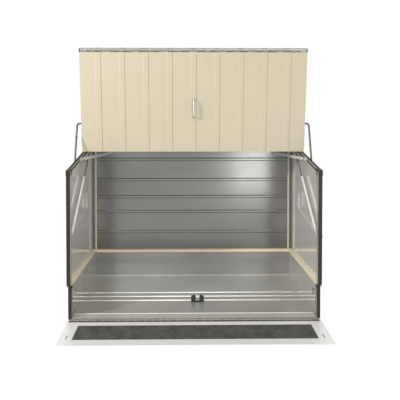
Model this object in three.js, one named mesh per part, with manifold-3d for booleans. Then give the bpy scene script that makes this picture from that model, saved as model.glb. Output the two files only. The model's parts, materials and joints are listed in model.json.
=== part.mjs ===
// Steel bicycle store with a lift-up roof, a hanging front door and a fold-down ramp.
// Millimetres, +X to the right seen from the front, +Y to the back, +Z up.
// The origin is on the ground under the centre of the base. The store stands open.
import * as THREE from 'three';
import { mergeVertices } from 'three/addons/utils/BufferGeometryUtils.js';
import Module from 'manifold-3d';

const wasm = await Module();
wasm.setup();

// Driving dimensions of the whole store
const storeWidth = 1955;
const storeDepth = 890;
const eaveHeight = 1158;
const roofPitch = THREE.MathUtils.degToRad(12.64);
const tierHeight = 281;
const sheet = 1;
const plate = 2;
const seatGap = 0.3;
const runningGap = 0.3;
const cutOverrun = 5;

// Linkage of roof, door and arms, measured from the front plane and the ground
const roofAxisInset = 5;
const roofAxisRise = 11;
const roofReach = 912.1;
const roofOpenAngle = THREE.MathUtils.degToRad(-57.44);
const doorOpenLean = THREE.MathUtils.degToRad(5.7);
const armPivotSetback = 314.8;
const armPivotHeight = 985.8;
const armJointDrop = 620;
const armJointForward = 10;

// Walls, trims and rails
const upperTrimWidth = 31;
const upperTrimDepth = 30;
const tierStep = 12;
const lowerTrimWidth = 27;
const lowerTrimDepth = 26;
const lowerTrimBottom = 28;
const trimFit = 0.5;
const topTrimWidth = 22;
const topTrimDrop = 30;
const capWall = 1.2;
const capDepth = 46;
const capDrop = 40;
const lowerPanelBottom = 3;
const upperPanelLap = 19;
const railHeight = 24;
const railInset = 29.5;
const railFront = 31;
const rearRailDepth = 28;
const rearRibShares = [0.15, 0.34, 0.48, 0.641, 0.832];
const rearRibWidth = 31;
const rearRibDepth = 6;
const rearRibSlope = 6;
const postWidth = 36;
const postDepth = 34;
const headerHeight = 34;
const headerDepth = 35;
const headerTopDrop = 15.5;
const headerLip = 26;
const headerSideGap = 2.5;
const braceFront = 328;
const braceRearSide = 775;
const braceThickness = 4;
const braceHeight = 24;
const braceLift = 45;
const braceRise = 20;

// Base, floor and sill
const frameHeight = 15;
const frameWall = 3;
const frameFlange = 25;
const bearerWidth = 60;
const bearerSpacing = 480;
const ridgeFirst = 341;
const ridgePitch = 77;
const ridgeWidth = 30;
const ridgeTop = 14;
const ridgeHeight = 8;
const ridgeCount = 3;
const trayUpturn = 15;
const sillHeight = 32;
const sillDepth = 75;
const sillForward = 6;
const sillBottom = 3;
const anchorSide = 32;
const anchorSetback = 310;
const anchorGap = 31;
const anchorCheekWidth = 38;
const anchorCheekDepth = 26;
const anchorCheekHeight = 46;
const anchorPlate = 4;
const anchorBar = 7;
const anchorBarDrop = 12;
const anchorBoltRadius = 8;
const anchorBoltHeight = 11;
const anchorBoltInset = 7;

// Ramp and its hinge and catches
const rampHingeForward = 15;
const rampHingeHeight = 30;
const rampLength = 317;
const rampWidth = 1917;
const rampPlateStart = 6.5;
const rampSkinStart = 12;
const rampDrop = 7;
const matThickness = 2.5;
const matFront = 256;
const matBack = 89;
const matWidth = 1724;
const rampSkinInset = 2;
const rampRibRelief = 2;
const rampGrooveDepth = 2.5;
const slotCentre = 228;
const slotLength = 40;
const slotSide = 906.5;
const slotWidth = 7.5;
const catchTongue = 3;
const catchReach = 33;
const catchTongueHeight = 14;
const catchPlateHeight = 52;
const catchDrop = 10;
const catchPlateSetback = 3;
const rampKnuckleRadius = 5;
const rampPinRadius = 2.5;
const rampKnuckleCount = 25;

// Roof, its hinges and its strut brackets
const roofRise = 17;
const roofFrontOverhang = 22;
const roofRearOverhang = 6;
const roofSkirt = 26;
const roofRibHeight = 3;
const railLip = 14;
const frontRailWidth = 66;
const rearRailWidth = 66;
const frontRailForward = 18;
const hingeRadius = 6;
const hingePinRadius = 3;
const hingeWeb = 4;
const hingeSlices = 15;
const hingeSideInset = 28;
const knuckleWidth = 44;
const hookWidth = 60;
const hookClearance = 0.5;
const leafWidth = 28;
const strutBracketReach = 95;
const strutBracketDrop = 30;
const strutBracketWidth = 34;

// Door, its rails and its handle
const doorWidth = 1944;
const doorHeight = 856;
const doorTopDrop = 9;
const doorFace = 25;
const doorBack = 3;
const plankPitch = 203.6;
const firstGroove = -790;
const grooveCount = 9;
const grooveWidth = 7;
const grooveDepth = 5.1;
const stripWidth = 46;
const stripRelief = 2;
const stripSlope = 4;
const topRailDrop = 24;
const doorRailHeight = 30;
const doorRailFace = 16.8;
const bottomRailDrop = 780;
const handleSide = 0;
const handleTop = 403;
const handleLength = 169;
const handleStandOff = 44;
const handleRadius = 8.5;
const handleBend = 12;
const handleKnee = 16;
const handleSlant = 30;
const handleFootRadius = 11;
const handleFootHeight = 4;
const socketHeight = 70;
const socketDepth = 20;
const socketThickness = 4;

// Arms and gas struts
const armRadius = 8;
const armClearance = 31.5;
const armBend = 26;
const armEyeRadius = 15;
const armEyeWidth = 8.4;
const armTubeStart = 12;
const armPinRadius = 6;
const armHeadRadius = 11;
const armHeadHeight = 5;
const armPinPast = 12;
const strutSide = 949;
const strutPivotSetback = 48;
const strutPivotHeight = 656;
const strutBarrelRadius = 10;
const strutBarrelEnd = 560;
const strutBarrelStart = 26;
const strutRodRadius = 4;
const strutRodOverlap = 120;
const strutBoreDepth = 480;
const strutEyeRadius = 9;
const strutEyeWidth = 12;
const strutStudRadius = 4;
const strutPlateThickness = 3;
const strutMountHeight = 66;
const strutMountWidth = 40;

// Hangers inside the side walls
const hangerRod = 4;
const hangerFootSetback = 203;
const hangerFootHeight = 668;
const hangerElbowHeight = 738;
const hangerLegGap = 42;
const hangerGripSetback = 482;
const hangerGripWidth = 130;
const hangerTop = 903;
const hangerBend = 38;
const hangerPadWidth = 14;

// Lock staple on the right wall
const stapleSetback = 48;
const stapleHeight = 635;
const stapleReach = 22;
const stapleSpan = 24;
const stapleRod = 3;
const stapleBend = 9;
const staplePlateWidth = 30;
const staplePlateHeight = 56;

// Facets of round stock
const roundSides = 16;
const smallSides = 12;
const bendSteps = 5;

// Places that follow from the sizes above
const pitchSlope = Math.tan(roofPitch);
const outerHalf = storeWidth / 2;
const lowerOuterHalf = outerHalf - tierStep;
const upperWallOuter = outerHalf - sheet - trimFit;
const upperWallInner = upperWallOuter - sheet;
const lowerWallOuter = lowerOuterHalf - sheet - trimFit;
const lowerWallInner = lowerWallOuter - sheet;
const rearPlane = storeDepth - plate;
const rearWallFront = rearPlane - sheet;
const frameOuterHalf = lowerWallInner - seatGap;
const roofAxisY = storeDepth - roofAxisInset;
const roofAxisZ = eaveHeight + roofAxisY * pitchSlope + roofAxisRise;
const headerTop = roofAxisZ - headerTopDrop;
const railInner = outerHalf - railInset;
const railTop = tierHeight + seatGap;
const rampTilt = Math.asin((rampHingeHeight - rampDrop) / rampLength);
const sillHalf = lowerOuterHalf - lowerTrimWidth - seatGap;
const armSide = outerHalf + armClearance;
const hingeHalf = outerHalf - topTrimWidth - hingeSideInset;
const doorHalf = doorWidth / 2;
const roofHalf = outerHalf;

// Finishes
const finishes = {
  cream: new THREE.MeshStandardMaterial({ color: 0xd9cdb0, roughness: 0.55, metalness: 0 }),
  brown: new THREE.MeshStandardMaterial({ color: 0x3a332c, roughness: 0.5, metalness: 0 }),
  galvanised: new THREE.MeshStandardMaterial({ color: 0xa9a9a4, roughness: 0.3, metalness: 0.9 }),
  bright: new THREE.MeshStandardMaterial({ color: 0xd0d0cc, roughness: 0.18, metalness: 1 }),
  dark: new THREE.MeshStandardMaterial({ color: 0x33332f, roughness: 0.35, metalness: 0.8 }),
  rubber: new THREE.MeshStandardMaterial({ color: 0x3d3d3a, roughness: 0.95, metalness: 0 }),
};

// Helpers for outlines and solids
function wallTop(y) {
  return eaveHeight + y * pitchSlope;
}

function circle(a, b, radius, sides = smallSides) {
  const points = [];
  for (let i = 0; i < sides; i += 1) {
    const angle = (2 * Math.PI * (i + 0.5)) / sides;
    points.push([a + radius * Math.cos(angle), b + radius * Math.sin(angle)]);
  }
  return points;
}

function rectangle(a0, a1, b0, b1) {
  return [[a0, b0], [a1, b0], [a1, b1], [a0, b1]];
}

// The outline of a folded sheet: the line is one face, the other lies to its left.
function folded(line, thickness = sheet) {
  const directions = [];
  for (let i = 0; i + 1 < line.length; i += 1) {
    const step = new THREE.Vector2(line[i + 1][0] - line[i][0], line[i + 1][1] - line[i][1]);
    directions.push(step.normalize());
  }
  const otherFace = line.map((point, i) => {
    const before = directions[Math.max(i - 1, 0)];
    const after = directions[Math.min(i, directions.length - 1)];
    const normalBefore = new THREE.Vector2(-before.y, before.x);
    const normalAfter = new THREE.Vector2(-after.y, after.x);
    const mitre = normalBefore.clone().add(normalAfter).normalize();
    const reach = thickness / mitre.dot(normalBefore);
    return [point[0] + mitre.x * reach, point[1] + mitre.y * reach];
  });
  return [...line, ...otherFace.reverse()];
}

function extruded(outline, length, holes = []) {
  const shape = new THREE.Shape(outline.map(([a, b]) => new THREE.Vector2(a, b)));
  for (const hole of holes) {
    shape.holes.push(new THREE.Path(hole.map(([a, b]) => new THREE.Vector2(a, b))));
  }
  return new THREE.ExtrudeGeometry(shape, { depth: length, bevelEnabled: false });
}

const axisX = new THREE.Vector3(1, 0, 0);
const axisY = new THREE.Vector3(0, 1, 0);
const axisZ = new THREE.Vector3(0, 0, 1);

function alongX(outlineYZ, x0, x1, holes = []) {
  const low = Math.min(x0, x1);
  const geometry = extruded(outlineYZ, Math.abs(x1 - x0), holes);
  geometry.applyMatrix4(new THREE.Matrix4().makeBasis(axisY, axisZ, axisX));
  return geometry.translate(low, 0, 0);
}

function alongY(outlineXZ, y0, y1, holes = []) {
  const high = Math.max(y0, y1);
  const geometry = extruded(outlineXZ, Math.abs(y1 - y0), holes);
  geometry.applyMatrix4(new THREE.Matrix4().makeBasis(axisX, axisZ, axisY.clone().negate()));
  return geometry.translate(0, high, 0);
}

function alongZ(outlineXY, z0, z1, holes = []) {
  const low = Math.min(z0, z1);
  return extruded(outlineXY, Math.abs(z1 - z0), holes).translate(0, 0, low);
}

function block(x0, x1, y0, y1, z0, z1) {
  const size = [Math.abs(x1 - x0), Math.abs(y1 - y0), Math.abs(z1 - z0)];
  const geometry = new THREE.BoxGeometry(...size);
  return geometry.translate((x0 + x1) / 2, (y0 + y1) / 2, (z0 + z1) / 2);
}

function roundX(y, z, radius, x0, x1, sides = smallSides) {
  return alongX(circle(y, z, radius, sides), x0, x1);
}

function toManifold(geometry) {
  const bare = geometry.clone();
  for (const name of Object.keys(bare.attributes)) {
    if (name !== 'position') bare.deleteAttribute(name);
  }
  const merged = mergeVertices(bare, 1e-4);
  const vertProperties = Float32Array.from(merged.attributes.position.array);
  const triVerts = Uint32Array.from(merged.index.array);
  const solid = new wasm.Mesh({ numProp: 3, vertProperties, triVerts });
  return new wasm.Manifold(solid);
}

function fromManifold(solid) {
  const mesh = solid.getMesh();
  const flat = [];
  for (const corner of mesh.triVerts) {
    const start = corner * mesh.numProp;
    flat.push(...mesh.vertProperties.slice(start, start + mesh.numProp));
  }
  const geometry = new THREE.BufferGeometry();
  geometry.setAttribute('position', new THREE.Float32BufferAttribute(flat, 3));
  geometry.computeVertexNormals();
  return geometry;
}

function join(first, ...others) {
  let solid = toManifold(first);
  for (const other of others) solid = solid.add(toManifold(other));
  return fromManifold(solid);
}

function cut(first, ...tools) {
  let solid = toManifold(first);
  for (const tool of tools) solid = solid.subtract(toManifold(tool));
  return fromManifold(solid);
}

// A path through chosen points, sampled exactly at those points.
class PointPath extends THREE.Curve {
  constructor(points) {
    super();
    this.points = points;
  }

  getPoint(share, target = new THREE.Vector3()) {
    const place = share * (this.points.length - 1);
    const index = Math.min(Math.floor(place + 1e-9), this.points.length - 2);
    return target.lerpVectors(this.points[index], this.points[index + 1], place - index);
  }

  getPointAt(share, target) {
    return this.getPoint(share, target);
  }

  getTangentAt(share, target = new THREE.Vector3()) {
    const last = this.points.length - 1;
    const index = Math.round(share * last);
    const before = this.points[Math.max(index - 1, 0)];
    const after = this.points[Math.min(index + 1, last)];
    return target.subVectors(after, before).normalize();
  }
}

// Corner points joined by straight runs, each inner corner rounded to the bend radius.
function bentPath(corners, bend) {
  const points = [corners[0].clone()];
  for (let i = 1; i + 1 < corners.length; i += 1) {
    const toBefore = corners[i - 1].clone().sub(corners[i]).normalize();
    const toAfter = corners[i + 1].clone().sub(corners[i]).normalize();
    const half = toBefore.angleTo(toAfter) / 2;
    const centreReach = bend / Math.sin(half);
    const middle = toBefore.clone().add(toAfter).normalize();
    const centre = corners[i].clone().addScaledVector(middle, centreReach);
    const start = corners[i].clone().addScaledVector(toBefore, bend / Math.tan(half));
    const spoke = start.clone().sub(centre);
    const turn = new THREE.Vector3().crossVectors(toAfter, toBefore).normalize();
    for (let step = 0; step <= bendSteps; step += 1) {
      const angle = ((Math.PI - 2 * half) * step) / bendSteps;
      points.push(spoke.clone().applyAxisAngle(turn, angle).add(centre));
    }
  }
  points.push(corners[corners.length - 1].clone());
  return points;
}

function bentRod(corners, bend, radius, sides = smallSides) {
  const points = bentPath(corners, bend);
  const section = circle(0, 0, radius, sides).map(([a, b]) => new THREE.Vector2(a, b));
  const options = { steps: points.length - 1, extrudePath: new PointPath(points) };
  return new THREE.ExtrudeGeometry(new THREE.Shape(section), options);
}

function piece(parent, name, finish, geometry) {
  const mesh = new THREE.Mesh(geometry, finishes[finish]);
  mesh.name = name;
  parent.add(mesh);
  return mesh;
}

function pivotGroup(parent, y, z, angle) {
  const pivot = new THREE.Group();
  pivot.position.set(0, y, z);
  pivot.rotation.x = angle;
  parent.add(pivot);
  return pivot;
}

function at(x, y, z) {
  return new THREE.Vector3(x, y, z);
}

// Both sides of the store: name and sign of X
const sides = [['left', -1], ['right', 1]];

// Planks of the coated sheet: flat runs, a raised strip and a groove, as a line from left to right.
function plankLine(half, level, out, relief, depth) {
  const line = [];
  const slope = stripSlope * Math.min(1, relief / stripRelief);
  for (let i = 0; i < grooveCount; i += 1) {
    const groove = firstGroove + i * plankPitch;
    const rise = groove - stripWidth;
    if (rise - slope <= -half || groove + grooveWidth >= half) continue;
    line.push([rise - slope, level]);
    line.push([rise, level + out * relief]);
    line.push([groove - grooveWidth / 2, level + out * relief]);
    line.push([groove, level + out * (relief - depth)]);
    line.push([groove + grooveWidth / 2, level]);
  }
  return line;
}

// Slices along the width for hinge knuckles
function slices(count, half, gap) {
  const width = (2 * half) / count;
  const list = [];
  for (let i = 0; i < count; i += 1) {
    list.push([-half + i * width + gap, -half + (i + 1) * width - gap]);
  }
  return list;
}

function knuckle(y, z, radius, hole, x0, x1) {
  return alongX(circle(y, z, radius), x0, x1, [circle(y, z, hole)]);
}

// Base: a frame on the ground, three bearers and the ridged floor tray
function makeBase(store) {
  const front = -sillForward + plate + seatGap;
  const rear = rearWallFront - seatGap;
  const outer = rectangle(-frameOuterHalf, frameOuterHalf, front, rear);
  const innerHalf = frameOuterHalf - frameWall;
  const inner = rectangle(-innerHalf, innerHalf, front + frameWall, rear - frameWall);
  const flangeHalf = innerHalf - frameFlange;
  const flangeFront = front + frameWall + frameFlange;
  const flangeRear = rear - frameWall - frameFlange;
  const flangeHole = rectangle(-flangeHalf, flangeHalf, flangeFront, flangeRear);
  const wall = alongZ(outer, 0, frameHeight, [inner]);
  const flange = alongZ(outer, 0, plate, [flangeHole]);
  const bearers = [-bearerSpacing, 0, bearerSpacing].map((middle) => {
    const line = [
      [middle - bearerWidth / 2, frameHeight],
      [middle - bearerWidth / 2, 0],
      [middle + bearerWidth / 2, 0],
      [middle + bearerWidth / 2, frameHeight],
    ];
    return alongY(folded(line, plate), front + frameWall / 2, rear - frameWall / 2);
  });
  piece(store, 'base_frame', 'galvanised', join(wall, flange, ...bearers));

  const floorLow = frameHeight + seatGap;
  const line = [[sillDepth + plate, floorLow]];
  for (let i = 0; i < ridgeCount; i += 1) {
    const middle = ridgeFirst + i * ridgePitch;
    line.push([middle - ridgeWidth / 2, floorLow]);
    line.push([middle - ridgeTop / 2, floorLow + ridgeHeight]);
    line.push([middle + ridgeTop / 2, floorLow + ridgeHeight]);
    line.push([middle + ridgeWidth / 2, floorLow]);
  }
  line.push([rear, floorLow]);
  line.push([rear, floorLow + trayUpturn]);
  const trayHalf = frameOuterHalf - seatGap;
  piece(store, 'floor_tray', 'galvanised', alongX(folded(line), -trayHalf, trayHalf));
}

// Front sill with its row of hinge knuckles and the pin
function makeSill(store) {
  const hingeY = -rampHingeForward;
  const line = [
    [-sillForward, sillBottom],
    [-sillForward, sillHeight],
    [sillDepth, sillHeight],
    [sillDepth, frameHeight + seatGap],
  ];
  const body = alongX(folded(line.reverse(), plate), -sillHalf, sillHalf);
  const parts = [];
  slices(rampKnuckleCount, sillHalf, runningGap / 2).forEach(([x0, x1], i) => {
    if (i % 2 === 1) return;
    const web = block(x0, x1, -sillForward + plate / 2, hingeY + rampPinRadius + plate / 2,
      rampHingeHeight - plate / 2, rampHingeHeight + plate / 2);
    parts.push(web, knuckle(hingeY, rampHingeHeight, rampKnuckleRadius,
      rampPinRadius + runningGap, x0, x1));
  });
  const bore = roundX(hingeY, rampHingeHeight, rampPinRadius + runningGap,
    -sillHalf - cutOverrun, sillHalf + cutOverrun);
  piece(store, 'front_sill', 'galvanised', cut(join(body, ...parts), bore));
  const pin = roundX(hingeY, rampHingeHeight, rampPinRadius, -sillHalf, sillHalf);
  piece(store, 'sill_hinge_pin', 'bright', pin);
}

// Anchor bolted to the floor: two cheeks on a plate, with a bar between them for a lock
function makeAnchor(store) {
  const low = frameHeight + seatGap + sheet + seatGap;
  const high = low + anchorCheekHeight;
  const front = anchorSetback - anchorCheekDepth / 2;
  const rear = anchorSetback + anchorCheekDepth / 2;
  const inner = anchorGap / 2;
  const outer = inner + anchorCheekWidth;
  const barZ = high - anchorBarDrop;
  const barHalf = inner + anchorCheekWidth / 2;
  const parts = [];
  for (const [, sign] of sides) {
    parts.push(block(anchorSide + sign * inner, anchorSide + sign * outer, front, rear, low, high));
    const boltX = anchorSide + sign * (inner + anchorBoltRadius + anchorBoltInset);
    parts.push(alongZ(circle(boltX, anchorSetback, anchorBoltRadius, 6),
      high - anchorPlate, high + anchorBoltHeight));
  }
  const base = block(anchorSide - outer, anchorSide + outer, front, rear, low, low + anchorPlate);
  const socket = roundX(anchorSetback, barZ, anchorBar + seatGap,
    anchorSide - barHalf - seatGap, anchorSide + barHalf + seatGap);
  piece(store, 'floor_anchor', 'dark', cut(join(base, ...parts), socket));
  piece(store, 'anchor_bar', 'bright',
    roundX(anchorSetback, barZ, anchorBar, anchorSide - barHalf, anchorSide + barHalf));
}

// Lower tier: flat panels, trims on their front edges and the rail on top
function makeLowerTier(store) {
  const sideTop = railTop - seatGap;
  for (const [name, sign] of sides) {
    const panel = block(sign * lowerWallInner, sign * lowerWallOuter,
      sheet + trimFit, rearPlane, lowerPanelBottom, sideTop);
    piece(store, `lower_${name}_panel`, 'cream', panel);

    const outer = sign * lowerOuterHalf;
    const inner = sign * (lowerOuterHalf - lowerTrimWidth);
    const line = [[inner, lowerTrimDepth], [inner, 0], [outer, 0], [outer, lowerTrimDepth]];
    const ordered = sign > 0 ? line : line.reverse();
    const trim = alongZ(folded(ordered), lowerTrimBottom, tierHeight);
    piece(store, `lower_${name}_trim`, 'brown', trim);

    const bottom = railTop + sheet - railHeight;
    const railLine = [
      [sign * (lowerWallInner - seatGap), bottom],
      [sign * railInner, bottom],
      [sign * railInner, railTop + sheet],
      [sign * (upperWallInner - seatGap), railTop + sheet],
    ];
    const railOutline = folded(sign > 0 ? railLine.reverse() : railLine);
    const railRear = rearWallFront - rearRailDepth - seatGap;
    piece(store, `${name}_rail`, 'cream', alongY(railOutline, railFront, railRear));
  }
  const rearHalf = lowerWallInner - seatGap;
  piece(store, 'lower_rear_panel', 'galvanised',
    block(-rearHalf, rearHalf, rearWallFront, rearPlane, lowerPanelBottom, tierHeight));
  const rearLine = [
    [rearWallFront - seatGap, railTop + sheet - railHeight],
    [rearWallFront - rearRailDepth, railTop + sheet - railHeight],
    [rearWallFront - rearRailDepth, railTop + sheet],
    [rearWallFront - seatGap, railTop + sheet],
  ];
  const railHalf = rearHalf - seatGap;
  piece(store, 'rear_rail', 'cream', alongX(folded(rearLine.reverse()), -railHalf, railHalf));
}

// Upper tier: side panels cut to the roof pitch and the ribbed rear panel
function makeUpperTier(store) {
  const bottom = tierHeight - upperPanelLap;
  const front = sheet + trimFit;
  const drop = sheet + trimFit;
  for (const [name, sign] of sides) {
    const outline = [
      [front, bottom],
      [rearPlane, bottom],
      [rearPlane, wallTop(rearPlane) - drop],
      [front, wallTop(front) - drop],
    ];
    piece(store, `upper_${name}_panel`, 'cream',
      alongX(outline, sign * upperWallInner, sign * upperWallOuter));
  }

  const rearBottom = railTop + sheet + seatGap;
  const rearTop = wallTop(rearWallFront) - topTrimDrop - seatGap;
  const line = [[rearWallFront, rearBottom]];
  for (const share of rearRibShares) {
    const low = rearBottom + share * (rearTop - rearBottom);
    line.push([rearWallFront, low]);
    line.push([rearWallFront - rearRibDepth, low + rearRibSlope]);
    line.push([rearWallFront - rearRibDepth, low + rearRibWidth - rearRibSlope]);
    line.push([rearWallFront, low + rearRibWidth]);
  }
  line.push([rearWallFront, rearTop]);
  const half = upperWallInner - trimFit;
  piece(store, 'upper_rear_panel', 'galvanised', alongX(folded(line.reverse()), -half, half));
}

// Upright posts in the two rear corners
function makePosts(store) {
  const low = railTop + sheet + seatGap;
  const high = headerTop - headerHeight - seatGap;
  const rear = rearWallFront - rearRibDepth - seatGap;
  for (const [name, sign] of sides) {
    const outer = sign * (upperWallInner - seatGap);
    const inner = sign * (upperWallInner - seatGap - postWidth);
    const line = [[inner, rear], [outer, rear], [outer, rear - postDepth]];
    const outline = folded(sign > 0 ? line.reverse() : line);
    piece(store, `${name}_rear_post`, 'cream', alongZ(outline, low, high));
  }
}

// Trims of the upper tier: front uprights, sloping top channels and corner caps
function makeUpperTrims(store) {
  const low = tierHeight + seatGap;
  for (const [name, sign] of sides) {
    const outer = sign * outerHalf;
    const inner = sign * (outerHalf - upperTrimWidth);
    const line = [[inner, upperTrimDepth], [inner, 0], [outer, 0], [outer, upperTrimDepth]];
    const tall = alongZ(folded(sign > 0 ? line : line.reverse()), low, eaveHeight + upperTrimDepth);
    const drop = sheet + trimFit;
    const above = [
      [-cutOverrun, wallTop(-cutOverrun) - drop],
      [upperTrimDepth + cutOverrun, wallTop(upperTrimDepth + cutOverrun) - drop],
      [upperTrimDepth + cutOverrun, eaveHeight + upperTrimDepth + upperTrimWidth],
      [-cutOverrun, eaveHeight + upperTrimDepth + upperTrimWidth],
    ];
    const clear = alongX(above, inner - sign * cutOverrun, outer + sign * cutOverrun);
    piece(store, `upper_${name}_trim`, 'brown', cut(tall, clear));

    const start = upperTrimDepth + seatGap;
    const web = [
      [start, wallTop(start) - sheet],
      [rearPlane, wallTop(rearPlane) - sheet],
      [rearPlane, wallTop(rearPlane)],
      [start, wallTop(start)],
    ];
    const leg = [
      [start, wallTop(start) - topTrimDrop],
      [rearPlane, wallTop(rearPlane) - topTrimDrop],
      [rearPlane, wallTop(rearPlane)],
      [start, wallTop(start)],
    ];
    const innerFace = outer - sign * topTrimWidth;
    const topTrim = join(
      alongX(web, innerFace, outer),
      alongX(leg, innerFace, innerFace + sign * sheet),
      alongX(leg, outer - sign * sheet, outer),
    );
    piece(store, `${name}_top_trim`, 'brown', topTrim);

    const skin = seatGap + capWall;
    const low0 = eaveHeight - capDrop;
    const capOutline = [
      [-skin, low0],
      [capDepth, low0],
      [capDepth, wallTop(capDepth) + skin],
      [-skin, wallTop(-skin) + skin],
    ];
    const hollow = [
      [-seatGap, low0 - cutOverrun],
      [capDepth + cutOverrun, low0 - cutOverrun],
      [capDepth + cutOverrun, wallTop(capDepth + cutOverrun) + seatGap],
      [-seatGap, wallTop(-seatGap) + seatGap],
    ];
    const capBody = alongX(capOutline, inner - sign * skin, outer + sign * skin);
    const capHollow = alongX(hollow, inner - sign * seatGap, outer + sign * seatGap);
    piece(store, `${name}_corner_cap`, 'brown', cut(capBody, capHollow));
  }
}

// Rear header, the fixed hinge leaf on it and the hinge pin
function makeHeader(store) {
  const half = outerHalf - topTrimWidth - headerSideGap;
  const rear = rearWallFront - seatGap;
  const line = [
    [rear - headerDepth, headerTop - headerLip],
    [rear - headerDepth, headerTop],
    [rear, headerTop],
    [rear, headerTop - headerHeight],
  ];
  piece(store, 'rear_header', 'cream', alongX(folded(line.reverse()), -half, half));

  const leafLow = headerTop + seatGap;
  const leaf = block(-hingeHalf, hingeHalf, rearPlane - leafWidth, rearPlane, leafLow, leafLow + plate);
  const parts = [];
  slices(hingeSlices, hingeHalf, runningGap / 2).forEach(([x0, x1], i) => {
    if (i % 2 === 1) return;
    parts.push(block(x0, x1, roofAxisY - hingeWeb / 2, roofAxisY + hingeWeb / 2,
      leafLow + plate / 2, roofAxisZ - hingePinRadius - plate / 2));
    parts.push(knuckle(roofAxisY, roofAxisZ, hingeRadius, hingePinRadius + runningGap, x0, x1));
  });
  const bore = roundX(roofAxisY, roofAxisZ, hingePinRadius + runningGap,
    -hingeHalf - cutOverrun, hingeHalf + cutOverrun);
  piece(store, 'rear_hinge_leaf', 'galvanised', cut(join(leaf, ...parts), bore));
  const pin = roundX(roofAxisY, roofAxisZ, hingePinRadius, -hingeHalf, hingeHalf);
  piece(store, 'rear_hinge_pin', 'bright', pin);
}

// Straps across the two rear corners, rising to the back
function makeBraces(store) {
  const frontSide = outerHalf - topTrimWidth - seatGap;
  const rear = rearWallFront - seatGap;
  const run = Math.hypot(frontSide - braceRearSide, rear - braceFront);
  const alongFront = (braceThickness * run) / (frontSide - braceRearSide);
  const alongRear = (braceThickness * run) / (rear - braceFront);
  const slope = braceRise / (rear - braceFront);
  const shear = new THREE.Matrix4().set(1, 0, 0, 0, 0, 1, 0, 0, 0, slope, 1, 0, 0, 0, 0, 1);
  for (const [name, sign] of sides) {
    const outline = [
      [sign * frontSide, braceFront],
      [sign * frontSide, braceFront + alongFront],
      [sign * (braceRearSide + alongRear), rear],
      [sign * braceRearSide, rear],
    ];
    const low = eaveHeight + braceLift - slope * braceFront;
    const strap = alongZ(outline, low, low + braceHeight).applyMatrix4(shear);
    piece(store, `${name}_corner_brace`, 'bright', strap);
  }
}

// Pins on the walls: the strut's lower studs and the arms' outer pivots
function makeWallPivots(store) {
  for (const [name, sign] of sides) {
    const wall = sign * (upperWallInner - seatGap);
    const backing = block(wall, wall - sign * plate,
      strutPivotSetback - strutMountWidth / 2 + plate, strutPivotSetback + strutMountWidth / 2,
      strutPivotHeight - strutMountHeight / 2, strutPivotHeight + strutMountHeight / 2);
    const stud = roundX(strutPivotSetback, strutPivotHeight, strutStudRadius,
      wall - sign * plate / 2, sign * (strutSide - strutEyeWidth / 2 - plate));
    piece(store, `${name}_strut_mount`, 'galvanised', join(backing, stud));

    const face = sign * (upperWallOuter + seatGap);
    const eyeInner = sign * (armSide - armEyeWidth / 2 - runningGap);
    const eyeOuter = sign * (armSide + armEyeWidth / 2 + runningGap);
    const pivot = join(
      roundX(armPivotSetback, armPivotHeight, armEyeRadius + plate, face, face + sign * plate),
      roundX(armPivotSetback, armPivotHeight, armPinRadius + plate, face + sign * plate / 2, eyeInner),
      roundX(armPivotSetback, armPivotHeight, armPinRadius, eyeInner - sign * plate,
        eyeOuter + sign * plate / 2),
      roundX(armPivotSetback, armPivotHeight, armHeadRadius, eyeOuter, eyeOuter + sign * armHeadHeight, 6),
    );
    piece(store, `${name}_arm_pivot`, 'bright', pivot);
  }
}

// Bent-rod hangers on the inner faces of the side walls
function makeHangers(store) {
  const gripFront = hangerGripSetback;
  const gripRear = gripFront + hangerGripWidth;
  for (const [name, sign] of sides) {
    const wall = sign * (upperWallInner - seatGap);
    const x = wall - sign * (plate + hangerRod);
    const rod = bentRod([
      at(x, hangerFootSetback, hangerFootHeight),
      at(x, gripRear, hangerElbowHeight),
      at(x, gripRear, hangerTop),
      at(x, gripFront, hangerTop),
      at(x, gripFront, hangerElbowHeight + hangerLegGap),
    ], hangerBend, hangerRod);
    const half = hangerPadWidth / 2;
    const padAt = (y, z) => block(wall, x, y - half, y + half, z - half, z + half);
    const lower = padAt(hangerFootSetback + half, hangerFootHeight + hangerPadWidth / 4);
    const upper = padAt(gripRear, (hangerElbowHeight + hangerTop) / 2);
    piece(store, `${name}_wall_hanger`, 'bright', join(rod, lower, upper));
  }
}

// Catches that come through the ramp's slots, and the lock staple
function makeCatches(store) {
  const middle = rampHingeHeight + slotCentre - catchDrop;
  for (const [name, sign] of sides) {
    const inner = sign * (lowerOuterHalf - lowerTrimWidth - seatGap);
    const tongue0 = sign * (slotSide - catchTongue / 2);
    const tongue1 = sign * (slotSide + catchTongue / 2);
    const high = middle + catchTongueHeight / 2;
    const low = high - catchPlateHeight;
    const backing = block(tongue0, inner, catchPlateSetback, catchPlateSetback + catchTongue,
      low, high);
    const tongue = block(tongue0, tongue1, -catchReach, catchPlateSetback + catchTongue / 2,
      middle - catchTongueHeight / 2, middle + catchTongueHeight / 2);
    const flange = block(inner, inner - sign * catchTongue, catchPlateSetback,
      catchPlateSetback + lowerTrimDepth / 2, low, high);
    piece(store, `${name}_ramp_catch`, 'cream', join(backing, tongue, flange));
  }

  const face = upperWallOuter + seatGap;
  const tip = face + stapleReach - stapleRod;
  const half = stapleSpan / 2;
  const loop = bentRod([
    at(face + plate / 2, stapleSetback, stapleHeight - half),
    at(tip, stapleSetback, stapleHeight - half),
    at(tip, stapleSetback, stapleHeight + half),
    at(face + plate / 2, stapleSetback, stapleHeight + half),
  ], stapleBend, stapleRod);
  const backing = block(face, face + plate,
    stapleSetback - staplePlateWidth / 2, stapleSetback + staplePlateWidth / 2,
    stapleHeight - staplePlateHeight / 2, stapleHeight + staplePlateHeight / 2);
  piece(store, 'lock_staple', 'bright', join(backing, loop));
}

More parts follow.
